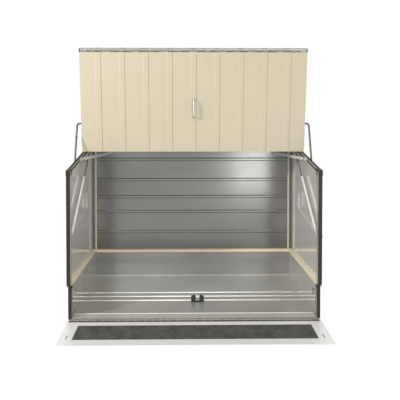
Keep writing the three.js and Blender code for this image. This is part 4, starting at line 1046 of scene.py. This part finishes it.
class LOCKER_OT_rear(bpy.types.Operator):
    """Rear panels with rounded pressed ribs, the corner posts and the header"""
    bl_idname = "locker.rear"
    bl_label = "Rear wall"

    def upper_panel(self):
        """The ribbed sheet: each rib steps out of the wall's face and back, up a short slope."""
        wall = node_box("upper_rear_panel")
        pressed = REAR_FACE - RIB_DEPTH
        line = [(REAR_FACE, wall.bottom)]
        for share in RIB_SHARES:
            foot = wall.bottom + share * (wall.top - wall.bottom)
            head = foot + RIB_WIDTH
            line += [(REAR_FACE, foot), (pressed, foot + RIB_SLOPE), (pressed, head - RIB_SLOPE),
                     (REAR_FACE, head)]
        line.append((REAR_FACE, wall.top))
        # The ribbed face takes the darkened zinc: painted shade
        sheet_piece("upper_rear_panel", line[::-1], "X", -wall.right, wall.right,
                    ("wall", "zinc"), radius=RIB_BEND)

    def post(self, side, sign):
        """An angle in the corner between the walls, with a cream bead on its inner edge."""
        box = node_box(f"{side}_rear_post")
        outer, rear = sign * (WALL_IN - SEAT), REAR_FACE - RIB_DEPTH - SEAT
        inner = outer - sign * POST_WIDTH
        line = [(inner, rear), (outer, rear), (outer, rear - POST_DEPTH)]
        sheet_piece(f"{side}_rear_post", mirrored(line, sign), "Z", box.bottom, box.top, "post")
        bead = rounded_block(
            (inner, rear - POST_BEAD_DEPTH, box.bottom + POST_BEAD_END),
            (inner + sign * POST_BEAD_WIDTH, rear + POST_BEAD_LAP, box.top - POST_BEAD_END),
            POST_BEAD_ROUND)
        # The bead takes the lightened cream: painted light
        make_piece(f"{side}_post_bead", bead, "cream_rail", "store")

    def execute(self, context):
        self.upper_panel()
        low = node_box("lower_rear_panel")
        sheet_piece("lower_rear_panel", [(REAR_FACE, low.top), (REAR_FACE, low.bottom)], "X",
                    low.left, low.right, ("low_wall", "zinc"))
        for side, sign in SIDES:
            self.post(side, sign)
        box = node_box("rear_header")
        line = [(box.rear, box.bottom), (box.rear, box.top), (box.front, box.top),
                (box.front, box.top - HEADER_LIP)]
        # The header takes the darkened zinc: painted shade
        sheet_piece("rear_header", line, "X", box.left, box.right, "header")
        return {"FINISHED"}


class LOCKER_OT_rails(bpy.types.Operator):
    """Cream rails on top of the lower tier"""
    bl_idname = "locker.rails"
    bl_label = "Rails"

    def execute(self, context):
        # The rails take the lightened cream: painted light
        top = RAIL_TOP + SHEET
        for side, sign in SIDES:
            box = node_box(f"{side}_rail")
            line = [(sign * (LOW_IN - SEAT), RAIL_LOW), (sign * RAIL_INNER, RAIL_LOW),
                    (sign * RAIL_INNER, top), (sign * (WALL_IN - SEAT), top)]
            sheet_piece(f"{side}_rail", mirrored(line, sign), "Y", box.front, box.rear,
                        "cream_rail", radius=RAIL_BEND)
        box = node_box("rear_rail")
        rear = REAR_FACE - SEAT
        line = [(rear, top), (box.front, top), (box.front, RAIL_LOW), (rear, RAIL_LOW)]
        sheet_piece("rear_rail", line, "X", box.left, box.right, "cream_rail",
                    radius=RAIL_BEND)
        return {"FINISHED"}


class LOCKER_OT_trims(bpy.types.Operator):
    """Dark trims on the walls' front and top edges, their corner caps and the cream beads"""
    bl_idname = "locker.trims"
    bl_label = "Trims"

    # Tier, half width, trim width and depth, foot and head
    uprights = (
        ("upper", OUTER_HALF, TRIM_WIDTH, TRIM_DEPTH, RAIL_TOP, EAVE - CAP_GAP),
        ("lower", LOWER_HALF, LOW_TRIM_WIDTH, LOW_TRIM_DEPTH, LOW_TRIM_BOTTOM, TIER),
    )

    def front_beads(self, side, sign):
        """Narrow beads of small square section with rounded corners, inside the front trims."""
        inner, low_inner = OUTER_HALF - TRIM_WIDTH, LOWER_HALF - LOW_TRIM_WIDTH
        upper = rounded_block(
            (sign * (inner - sizes().bead_width / MM), BEAD_FRONT, TIER + BEAD_FOOT),
            (sign * (inner - SEAT), BEAD_BACK, EAVE - BEAD_HEAD), BEAD_ROUND)
        lower = rounded_block(
            (sign * (low_inner - LOW_BEAD_WIDTH), LOW_BEAD_FRONT, LOW_TRIM_BOTTOM + LOW_BEAD_FOOT),
            (sign * (low_inner - SEAT), LOW_BEAD_BACK, RAIL_LOW - LOW_BEAD_HEAD), LOW_BEAD_ROUND)
        make_piece(f"{side}_front_bead", merged(upper, lower), "bead", "store")

    def slope_bead(self, side, sign):
        """A thin folded strip under the sloping trim."""
        inner = sign * (OUTER_HALF - TOP_TRIM_WIDTH - SEAT)
        edge = sign * (OUTER_HALF - TOP_TRIM_WIDTH - SLOPE_BEAD_SHARE * sizes().bead_width / MM)
        start, end = wall_top(SLOPE_BEAD_START), wall_top(SLOPE_BEAD_END)
        top = start - SLOPE_BEAD_TOP
        line = [(edge, start - SLOPE_BEAD_BOTTOM), (edge, top), (inner, top)]
        sheet_piece(f"{side}_slope_bead", mirrored(line, sign), "Y", SLOPE_BEAD_START,
                    SLOPE_BEAD_END, "bead", rise=end - start, stands_in=False)

    def execute(self, context):
        start, end = TRIM_DEPTH + SEAT, WALL_REAR
        top, bottom = wall_top(start), wall_top(start) - TOP_TRIM_DROP
        for side, sign in SIDES:
            for tier, half, width, depth, foot, head in self.uprights:
                outer, inner = sign * half, sign * (half - width)
                line = [(outer, depth), (outer, 0), (inner, 0), (inner, depth)]
                sheet_piece(f"{tier}_{side}_trim", mirrored(line, sign), "Z", foot, head, "brown")
            outer, inner = sign * OUTER_HALF, sign * (OUTER_HALF - TOP_TRIM_WIDTH)
            line = [(inner, bottom), (inner, top), (outer, top), (outer, bottom)]
            sheet_piece(f"{side}_top_trim", mirrored(line, sign), "Y", start, end, "slope",
                        rise=wall_top(end) - top)
            softened(f"{side}_corner_cap", "cap", width=CAP_ROUND)
            self.front_beads(side, sign)
            self.slope_bead(side, sign)
        return {"FINISHED"}


class LOCKER_OT_floor(bpy.types.Operator):
    """Floor tray with rolled ridges, the base frame and the front sill"""
    bl_idname = "locker.floor"
    bl_label = "Floor"

    def execute(self, context):
        tray = node_box("floor_tray")
        floor, crest = tray.bottom, tray.bottom + RIDGE_HEIGHT
        line = [(tray.front, floor)]
        for middle in RIDGE_FIRST + RIDGE_PITCH * np.arange(RIDGE_COUNT):
            line += [(middle - RIDGE_WIDTH / 2, floor), (middle - RIDGE_TOP / 2, crest),
                     (middle + RIDGE_TOP / 2, crest), (middle + RIDGE_WIDTH / 2, floor)]
        line += [(tray.rear, floor), (tray.rear, tray.top)]
        sheet_piece("floor_tray", line, "X", tray.left, tray.right, ("zinc", "floor"),
                    radius=TRAY_BEND)
        softened("base_frame", "zinc")
        softened("front_sill", "sill", second="hinge",
                 where=lambda points: points[:, 1] < SILL_HINGE_LINE)
        # A rounded bead on the sill's rear edge, in the near-white plate finish: painted highlight
        half = tray.right - SILL_BEAD_INSET
        path = [(x, SILL_BEAD_DEPTH, SILL_BEAD_HEIGHT) for x in (-half, 0, half)]
        bead = tube_shape(path, SILL_BEAD_RADIUS, sizes().tube_sides, (0, 0, 1))
        make_piece("sill_rear_bead", bead, "tread", "store")
        softened("sill_hinge_pin", "chrome")
        return {"FINISHED"}


class LOCKER_OT_anchor(bpy.types.Operator):
    """Floor anchor for a lock and its bar"""
    bl_idname = "locker.anchor"
    bl_label = "Floor anchor"

    def execute(self, context):
        softened("floor_anchor", "dark", width=ANCHOR_ROUND)
        box = node_box("anchor_bar")
        path = [(x, (box.front + box.rear) / 2, (box.bottom + box.top) / 2)
                for x in (box.left, box.right)]
        bar = tube_shape(path, (box.top - box.bottom) / 2, sizes().tube_sides, (0, 0, 1))
        make_piece("anchor_bar_round", bar, "chrome", "store",
                   replaces=("anchor_bar",))
        return {"FINISHED"}


class LOCKER_OT_ramp(bpy.types.Operator):
    """Ramp plate with its two slot liners, grip mat and the ramp's coated outer skin"""
    bl_idname = "locker.ramp"
    bl_label = "Ramp"

    def liner(self, x):
        """A rim round a slot: a circle pulled apart along Y by the slot's straight length, on
        rings of their own reach past the slot's edge and height, the last joined to the first."""
        circle = circle_outline(1.0, SMALL_SIDES)
        pull = np.where(circle[:, 1] >= 0, 1, -1) * (SLOT_LENGTH - SLOT_WIDTH) / 2
        rings = []
        for past, height in LINER_RINGS:
            radius = SLOT_WIDTH / 2 + past
            rings.append(np.column_stack([x + radius * circle[:, 0],
                                          radius * circle[:, 1] + pull - SLOT_CENTRE,
                                          np.full(len(circle), height)]))
        return np.vstack(rings), ring_faces(len(circle), len(rings))

    def row(self, block):
        """Copies of one block along the hinge."""
        points, faces = rounded_block(*block)
        starts = np.arange(HINGE_START, HINGE_STOP, HINGE_PITCH)
        return merged(*[(points + (x, 0, 0), faces) for x in starts])

    def execute(self, context):
        softened("ramp_plate", "tread", second="hinge",
                 where=lambda points: points[:, 1] > RAMP_HINGE_LINE)
        for side, sign in SIDES:
            # The liners are rust and also darken the slots' insides: painted shade
            make_piece(f"{side}_slot_liner", self.liner(sign * SLOT_SIDE), "rust", "ramp")
        softened("ramp_skin", "skin", width=SKIN_ROUND)
        # Lightened rolls over dark leaves: painted light above a painted shadow line
        make_piece("ramp_hinge_rolls", self.row(HINGE_ROLL), "roll", "ramp")
        make_piece("ramp_hinge_leaves", self.row(HINGE_LEAF), "hinge", "ramp")
        make_piece("grip_mat", rounded_block(*MAT_BLOCK), "mat", "ramp",
                   replaces=("ramp_mat",))
        return {"FINISHED"}


class LOCKER_OT_roof(bpy.types.Operator):
    """Ribbed roof sheet, its rails with hinge knuckles, the pins and the strut brackets"""
    bl_idname = "locker.roof"
    bl_label = "Roof"

    def execute(self, context):
        half, level, skirt = OUTER_HALF, ROOF_LEVEL, ROOF_LEVEL - ROOF_SKIRT
        line = [(half, skirt), (half, level),
                *plank_line(half, level, 1, ROOF_RELIEF, ROOF_RELIEF)[::-1],
                (-half, level), (-half, skirt)]
        # The roof's underside takes the darkened zinc: painted shade
        sheet_piece("roof_sheet", line, "Y", -ROOF_REACH - ROOF_NOSE, ROOF_TAIL,
                    ("brown", "wall"), body="roof")
        # Painted light on the front rail's face and painted shade on its knuckles
        softened("roof_front_rail", "edge", second="knuckle",
                 where=lambda points: np.hypot(points[:, 1] + ROOF_REACH,
                                               points[:, 2]) < KNUCKLE_REACH)
        for node in ("roof_rear_rail", "left_strut_bracket", "right_strut_bracket",
                     "rear_hinge_leaf"):
            softened(node, "zinc")
        # The pin takes the darkened steel: painted shade
        softened("door_hinge_pin", "arm")
        softened("rear_hinge_pin", "chrome")
        return {"FINISHED"}


class LOCKER_OT_door(bpy.types.Operator):
    """Door skin with rounded grooves, its top hem, rails and arm sockets"""
    bl_idname = "locker.door"
    bl_label = "Door"

    def paint_groove_shade(self, skin):
        """The third finish, painted shade, goes on the outer faces that lie behind the planks'
        level.
        """
        faces = skin.data.polygons
        finish = np.empty(len(faces), np.int32)
        faces.foreach_get("material_index", finish)
        place = face_centres(skin.data, "door")
        behind = (place[:, 1] > DOOR_LEVEL + SEAT) & (np.abs(place[:, 0]) < DOOR_HALF - DOOR_MARGIN)
        finish[behind & (finish == 0)] = 2
        faces.foreach_set("material_index", finish)

    def execute(self, context):
        line = [(-DOOR_HALF, DOOR_FOLD), (-DOOR_HALF, DOOR_LEVEL),
                *plank_line(DOOR_HALF, DOOR_LEVEL, -1, STRIP_RELIEF, GROOVE_DEPTH),
                (DOOR_HALF, DOOR_LEVEL), (DOOR_HALF, DOOR_FOLD)]
        skin = sheet_piece("door_skin", line, "Z", DOOR_BOTTOM, DOOR_TOP,
                           ("cream", "zinc", "groove"), body="door")
        self.paint_groove_shade(skin)
        half = OUTER_HALF - TRIM_WIDTH - HEM_SIDE_GAP
        edge = DOOR_TOP - HEM_TOP_GAP
        line = [(HEM_FRONT, edge - HEM_FALL), (HEM_FRONT, edge), (HEM_BACK, edge),
                (HEM_BACK, edge - HEM_FALL)]
        sheet_piece("door_top_hem", line, "X", -half, half, "cream_rail",
                    body="door", stands_in=False)
        # Painted light on the top rail's face and painted shade on its hooks
        softened("door_top_rail", "edge", second="knuckle",
                 where=lambda points: points[:, 2] > -TOP_RAIL_DROP)
        for node in ("door_bottom_rail", "left_arm_socket", "right_arm_socket"):
            softened(node, "zinc")
        return {"FINISHED"}


class LOCKER_OT_handle(bpy.types.Operator):
    """Plated D-shaped door handle: a bent rod on two turned feet"""
    bl_idname = "locker.handle"
    bl_label = "Door handle"

    def execute(self, context):
        face = DOOR_LEVEL - STRIP_RELIEF - SEAT
        out = face - HANDLE_REACH + HANDLE_RADIUS
        feet = stamped(turned_shape(HANDLE_FOOT, TURNED_SIDES),
                       [(0, face, z) for z in (HANDLE_TOP, HANDLE_BOTTOM)], (0, -1, 0))
        path = rounded([(0, face - ROOT, HANDLE_TOP), (0, face - HANDLE_KNEE, HANDLE_TOP),
                        (0, out, HANDLE_TOP - HANDLE_SLANT), (0, out, HANDLE_BOTTOM),
                        (0, face - ROOT, HANDLE_BOTTOM)], HANDLE_BEND, ROD_STEPS)
        grip = tube_shape(path, HANDLE_RADIUS - ROD_FIT, TURNED_SIDES, (1, 0, 0))
        make_piece("door_handle_bright", merged(grip, feet), "chrome", "door",
                   replaces=("door_handle",))
        return {"FINISHED"}


class LOCKER_OT_arms(bpy.types.Operator):
    """Bent arms outside the walls and the pivots that they turn on"""
    bl_idname = "locker.arms"
    bl_label = "Arms"

    def execute(self, context):
        length = math.dist(joint_place("arm_swing"), joint_place("door_tilt"))
        for side, sign in SIDES:
            x = sign * ARM_SIDE
            path = rounded([(x, 0, ARM_START), (x, 0, length),
                            (sign * (DOOR_HALF - ARM_END), 0, length)], ARM_BEND, ARM_STEPS)
            tube = tube_shape(path, ARM_RADIUS, sizes().tube_sides, (0, 1, 0))
            eye = stamped(turned_shape(ARM_EYE, EYE_SIDES), (x, 0, 0), (1, 0, 0))
            # The arms take the darkened steel: painted shade
            make_piece(f"{side}_arm_tube", merged(tube, eye), "arm", "arms",
                       replaces=(f"{side}_arm",))
            softened(f"{side}_arm_pivot", "chrome", width=PIVOT_ROUND)
        clip = stamped(turned_shape(ARM_COLLAR, sizes().tube_sides),
                       (-ARM_SIDE, 0, CLIP_SHARE * length), (0, 0, 1))
        make_piece("arm_clip", clip, "dark", "arms")
        return {"FINISHED"}


class LOCKER_OT_struts(bpy.types.Operator):
    """Gas struts: turned barrels with a crimped collar, rods darkened as painted shade, round eyes
    """
    bl_idname = "locker.struts"
    bl_label = "Gas struts"

    def execute(self, context):
        _, foot, angle = PLACES["strut_rods"]
        length = (node_box("left_strut_rod").top - STRUT_EYE_RADIUS - foot) / math.cos(angle)
        cone, end = length - FERRULE_START, length - FERRULE_END
        rod = ((0, ROD_START), (ROD_RADIUS, ROD_START), (ROD_RADIUS, cone),
               (FERRULE_RADIUS, cone + FERRULE_CONE), (FERRULE_RADIUS, end), (0, end))
        along, across = (0, 0, 1), (1, 0, 0)
        for side, sign in SIDES:
            low, high = (sign * STRUT_SIDE, 0, 0), (sign * STRUT_SIDE, 0, length)
            barrel = merged(stamped(turned_shape(STRUT_BARREL, TURNED_SIDES), low, along),
                            stamped(turned_shape(STRUT_NECK, SMALL_SIDES), low, along),
                            stamped(turned_shape(STRUT_EYE, TURNED_SIDES), low, across))
            # The barrels take the whitened steel: painted highlight
            make_piece(f"{side}_strut_tube", barrel, "bright", "strut_barrels",
                       replaces=(f"{side}_strut_barrel",))
            piston = merged(stamped(turned_shape(rod, sizes().tube_sides), low, along),
                            stamped(turned_shape(ROD_END, TURNED_SIDES), high, across))
            # The rods take the darkened steel: painted shade
            make_piece(f"{side}_strut_piston", piston, "arm", "strut_rods",
                       replaces=(f"{side}_strut_rod",))
            softened(f"{side}_strut_mount", "zinc")
        return {"FINISHED"}


class LOCKER_OT_fittings(bpy.types.Operator):
    """Wall hangers, corner braces, ramp catches and the lock staple"""
    bl_idname = "locker.fittings"
    bl_label = "Fittings"

    def hanger(self, side, sign):
        """A bent rod with two small fixing pads."""
        wall = sign * (WALL_IN - SEAT)
        corners = [(wall - sign * HANGER_STAND, y, z) for y, z in HANGER_PATH]
        rod = tube_shape(rounded(corners, HANGER_BEND, ROD_STEPS), HANGER_RADIUS, ROD_SIDES,
                         (1, 0, 0))
        pads = [rounded_block((wall, y - PAD_HALF, z - PAD_HALF),
                              (wall - sign * PAD_DEPTH, y + PAD_HALF, z + PAD_HALF), PAD_ROUND)
                for y, z in HANGER_PADS]
        # The hanger rods take the whitened steel: painted highlight
        make_piece(f"{side}_hanger_rod", merged(rod, *pads), "bright", "store",
                   replaces=(f"{side}_wall_hanger",))

    def staple(self):
        """A bent rod that stands out of a small plate on the right wall's outer face."""
        face, y = WALL_OUT + SEAT, STAPLE_DEPTH
        low, high = STAPLE_HEIGHT - STAPLE_SPAN / 2, STAPLE_HEIGHT + STAPLE_SPAN / 2
        tip = face + STAPLE_REACH
        path = rounded([(face + ROOT, y, low), (tip, y, low), (tip, y, high),
                        (face + ROOT, y, high)], STAPLE_BEND, STAPLE_STEPS)
        rod = tube_shape(path, STAPLE_RADIUS, ROD_SIDES, (0, 1, 0))
        plate = rounded_block(
            (face, y - KEEPER_WIDTH / 2, STAPLE_HEIGHT - KEEPER_HEIGHT / 2),
            (face + KEEPER_DEPTH, y + KEEPER_WIDTH / 2, STAPLE_HEIGHT + KEEPER_HEIGHT / 2),
            KEEPER_ROUND)
        make_piece("lock_staple_loop", merged(rod, plate), "chrome", "store",
                   replaces=("lock_staple",))

    def execute(self, context):
        for side, sign in SIDES:
            self.hanger(side, sign)
            # The braces take the whitened steel: painted highlight
            softened(f"{side}_corner_brace", "bright", width=BRACE_ROUND)
            softened(f"{side}_ramp_catch", "post", second="cream_rail",
                     where=lambda points: points[:, 1] < CATCH_LINE)
        self.staple()
        return {"FINISHED"}


class LOCKER_OT_fasteners(bpy.types.Operator):
    """Domed rivets along the rails, posts and door, and the bolts of the corner braces"""
    bl_idname = "locker.fasteners"
    bl_label = "Fasteners"

    def rivets(self, name, centres, direction, radius=None, finish="cream_rail", body="store"):
        """Domes: a circle's upper part turned about its axis, copied to each centre."""
        radius = sizes().rivet_radius / MM if radius is None else radius
        rise = np.linspace(0, math.pi / 2, RIVET_RINGS)
        dome = np.column_stack([np.cos(rise), RIVET_LIP + RIVET_DOME * np.sin(rise)]) * radius
        dome[-1, 0] = 0
        shape = turned_shape([(0, 0), (radius, 0), *dome], RIVET_SIDES)
        make_piece(name, stamped(shape, centres, direction), finish, body)

    def execute(self, context):
        spacing = sizes().rivet_spacing / MM
        height = RAIL_LOW + RAIL_RIVET_RISE
        bolt = merged(turned_shape(BOLT_WASHER, SMALL_SIDES), turned_shape(BOLT_HEAD, BOLT_SIDES))
        for side, sign in SIDES:
            self.rivets(f"{side}_rail_rivets",
                        [(sign * RAIL_INNER, y, height)
                         for y in np.arange(RAIL_RIVET_FIRST, RAIL_RIVET_LAST, spacing)],
                        (-sign, 0, 0))
            y = node_box(f"{side}_rear_post").front + POST_RIVET_INSET
            self.rivets(f"{side}_post_rivets",
                        [(sign * (WALL_IN - SEAT - SHEET), y, z) for z in
                         np.arange(POST_RIVET_FIRST, POST_RIVET_LAST, POST_RIVET_PITCH)],
                        (-sign, 0, 0))
        front = node_box("rear_rail").front
        self.rivets("rear_rail_rivets",
                    [(x, front, height)
                     for x in np.arange(-REAR_RIVET_HALF, REAR_RIVET_HALF + 1, spacing)],
                    (0, -1, 0))
        planks = FIRST_GROOVE + PLANK_PITCH * (np.arange(GROOVES + 1) - 0.5)
        planks = planks[np.abs(planks) < DOOR_HALF - DOOR_RIVET_MARGIN]
        for label, z in DOOR_RIVET_ROWS:
            self.rivets(f"door_{label}_rivets", [(x, DOOR_LEVEL, z) for x in planks], (0, -1, 0),
                        radius=DOOR_RIVET_RADIUS, finish="cream", body="door")
        for side, sign in SIDES:
            x = sign * (OUTER_HALF - TOP_TRIM_WIDTH - BOLT_INSET)
            z = node_box(f"{side}_corner_brace").bottom + BOLT_RISE
            heads = stamped(bolt, (x, BOLT_DEPTH, z), (-sign * BOLT_LEAN[0], -BOLT_LEAN[1], 0))
            make_piece(f"{side}_brace_bolts", heads, "chrome", "store",
                       sharp=BOLT_SHARP)
        return {"FINISHED"}


class LOCKER_OT_stage(bpy.types.Operator):
    """Pale floor, soft studio light and the camera at the photograph's place"""
    bl_idname = "locker.stage"
    bl_label = "Stage"

    world_light = 0.37
    floor_half, floor_colour = 30.0, (0.92, 0.92, 0.91, 1)
    floor_glow, floor_share = 1.18, 0.78
    # Place, turn, lens, shift and far limit that the photograph's perspective was fitted with
    camera_place = (-0.0780, -3.4542, 1.5134)
    camera_turn = (math.pi / 2 - 0.016716, 0.0, -0.011890)
    camera_lens, camera_sensor, camera_limit = 35.676, 36.0, 60.0
    camera_shift = (0.0271, -0.1732)
    # Name, place, aim, width and height in metres, and watts
    lamps = (
        ("Front light", (-1.5, -4.6, 2.2), (0, 0, 0.8), (3.0, 2.0), 18),
        ("Top light", (0.3, -0.9, 5.0), (0, -0.3, 0.6), (4.0, 3.0), 68),
        ("Side light", (4.0, -2.5, 2.4), (0, 0, 1.0), (2.5, 2.5), 17),
        ("Low light", (1.7, -4.4, 0.62), (0.3, 0.4, 0.8), (1.5, 1.1), 22),
        ("Key light", (-4.5, -2.8, 2.9), (0, -0.2, 1.5), (0.3, 0.3), 132),
    )

    def seen(self, graph):
        """1 for the rays that show the background: camera, glossy and transmission rays."""
        path = graph.node("LightPath").outputs
        bounced = graph.maths("MAXIMUM", path["Is Glossy Ray"], path["Is Transmission Ray"])
        return graph.maths("MAXIMUM", path["Is Camera Ray"], bounced)

    def camera(self):
        """The camera that the photograph's perspective was fitted with."""
        data = bpy.data.cameras.new("Camera")
        data.sensor_width, data.lens = self.camera_sensor, self.camera_lens
        data.shift_x, data.shift_y = self.camera_shift
        data.clip_end = self.camera_limit
        camera = linked("Camera", data)
        camera.location = self.camera_place
        camera.rotation_euler = self.camera_turn
        bpy.context.scene.camera = camera

    def lamp(self, name, place, aim, size, power):
        """A soft white lamp that faces its aim."""
        data = bpy.data.lights.new(name, "AREA")
        data.shape = "RECTANGLE"
        data.size, data.size_y = size
        data.energy = power
        lamp = linked(name, data)
        lamp.location = place
        lamp.rotation_euler = (Vector(aim) - Vector(place)).to_track_quat("-Z", "Y").to_euler()

    def world(self):
        """White to the camera and in reflections, and a plain grey-white light otherwise."""
        world = bpy.data.worlds.new("Studio")
        bpy.context.scene.world = world
        graph = cleared(world)
        light, white = (graph.node("Background", Color=(1, 1, 1, 1), Strength=strength)
                        for strength in (self.world_light, 1.0))
        mixed = graph.node("MixShader", i0=self.seen(graph), i1=light.outputs[0],
                           i2=white.outputs[0])
        graph.node("OutputWorld", Surface=mixed.outputs[0])

    def ground(self):
        """A flat floor, nearly white to the camera, that keeps a soft shadow."""
        made = bpy.data.materials.new("Pale floor")
        graph = cleared(made)
        share = graph.maths("MULTIPLY", self.seen(graph), self.floor_share)
        plain = graph.node("BsdfDiffuse", Color=self.floor_colour)
        glow = graph.node("Emission", Color=(1, 1, 1, 1), Strength=self.floor_glow)
        mixed = graph.node("MixShader", i0=share, i1=plain.outputs[0], i2=glow.outputs[0])
        graph.node("OutputMaterial", Surface=mixed.outputs[0])
        half = self.floor_half
        mesh = bpy.data.meshes.new("Floor")
        mesh.from_pydata([(-half, -half, 0), (half, -half, 0), (half, half, 0),
                          (-half, half, 0)], [], [(0, 1, 2, 3)])
        mesh.materials.append(made)
        linked("Floor", mesh)

    def execute(self, context):
        context.scene.view_settings.view_transform = "Standard"
        self.world()
        self.ground()
        for lamp in self.lamps:
            self.lamp(*lamp)
        self.camera()
        return {"FINISHED"}


OPERATORS = (
    LOCKER_OT_walls, LOCKER_OT_rear, LOCKER_OT_rails, LOCKER_OT_trims, LOCKER_OT_floor,
    LOCKER_OT_anchor, LOCKER_OT_ramp, LOCKER_OT_roof, LOCKER_OT_door, LOCKER_OT_handle,
    LOCKER_OT_arms, LOCKER_OT_struts, LOCKER_OT_fittings, LOCKER_OT_fasteners, LOCKER_OT_stage,
)


class LOCKER_PT_panel(bpy.types.Panel):
    """Lists the sizes, the colours and one button for each operator"""
    bl_idname = "LOCKER_PT_panel"
    bl_label = "Locker"
    bl_space_type = "VIEW_3D"
    bl_region_type = "UI"
    bl_category = "Locker"

    def draw(self, context):
        for settings in (context.scene.locker_sizes, context.scene.locker_colours):
            box = self.layout.box()
            for name in settings.__annotations__:
                box.prop(settings, name)
        for operator in OPERATORS:
            self.layout.operator(operator.bl_idname)


CLASSES = (LockerSizes, LockerColours, *OPERATORS, LOCKER_PT_panel)


def register():
    """Registers the classes and hangs the settings on the scene."""
    for made in CLASSES:
        bpy.utils.register_class(made)
    bpy.types.Scene.locker_sizes = PointerProperty(type=LockerSizes)
    bpy.types.Scene.locker_colours = PointerProperty(type=LockerColours)


def unregister():
    """Takes the settings and the classes away again."""
    del bpy.types.Scene.locker_colours
    del bpy.types.Scene.locker_sizes
    for made in reversed(CLASSES):
        bpy.utils.unregister_class(made)


def main():
    register()
    for operator in OPERATORS:
        getattr(bpy.ops.locker, operator.bl_idname.split(".")[1])()


if __name__ == "__main__":
    main()
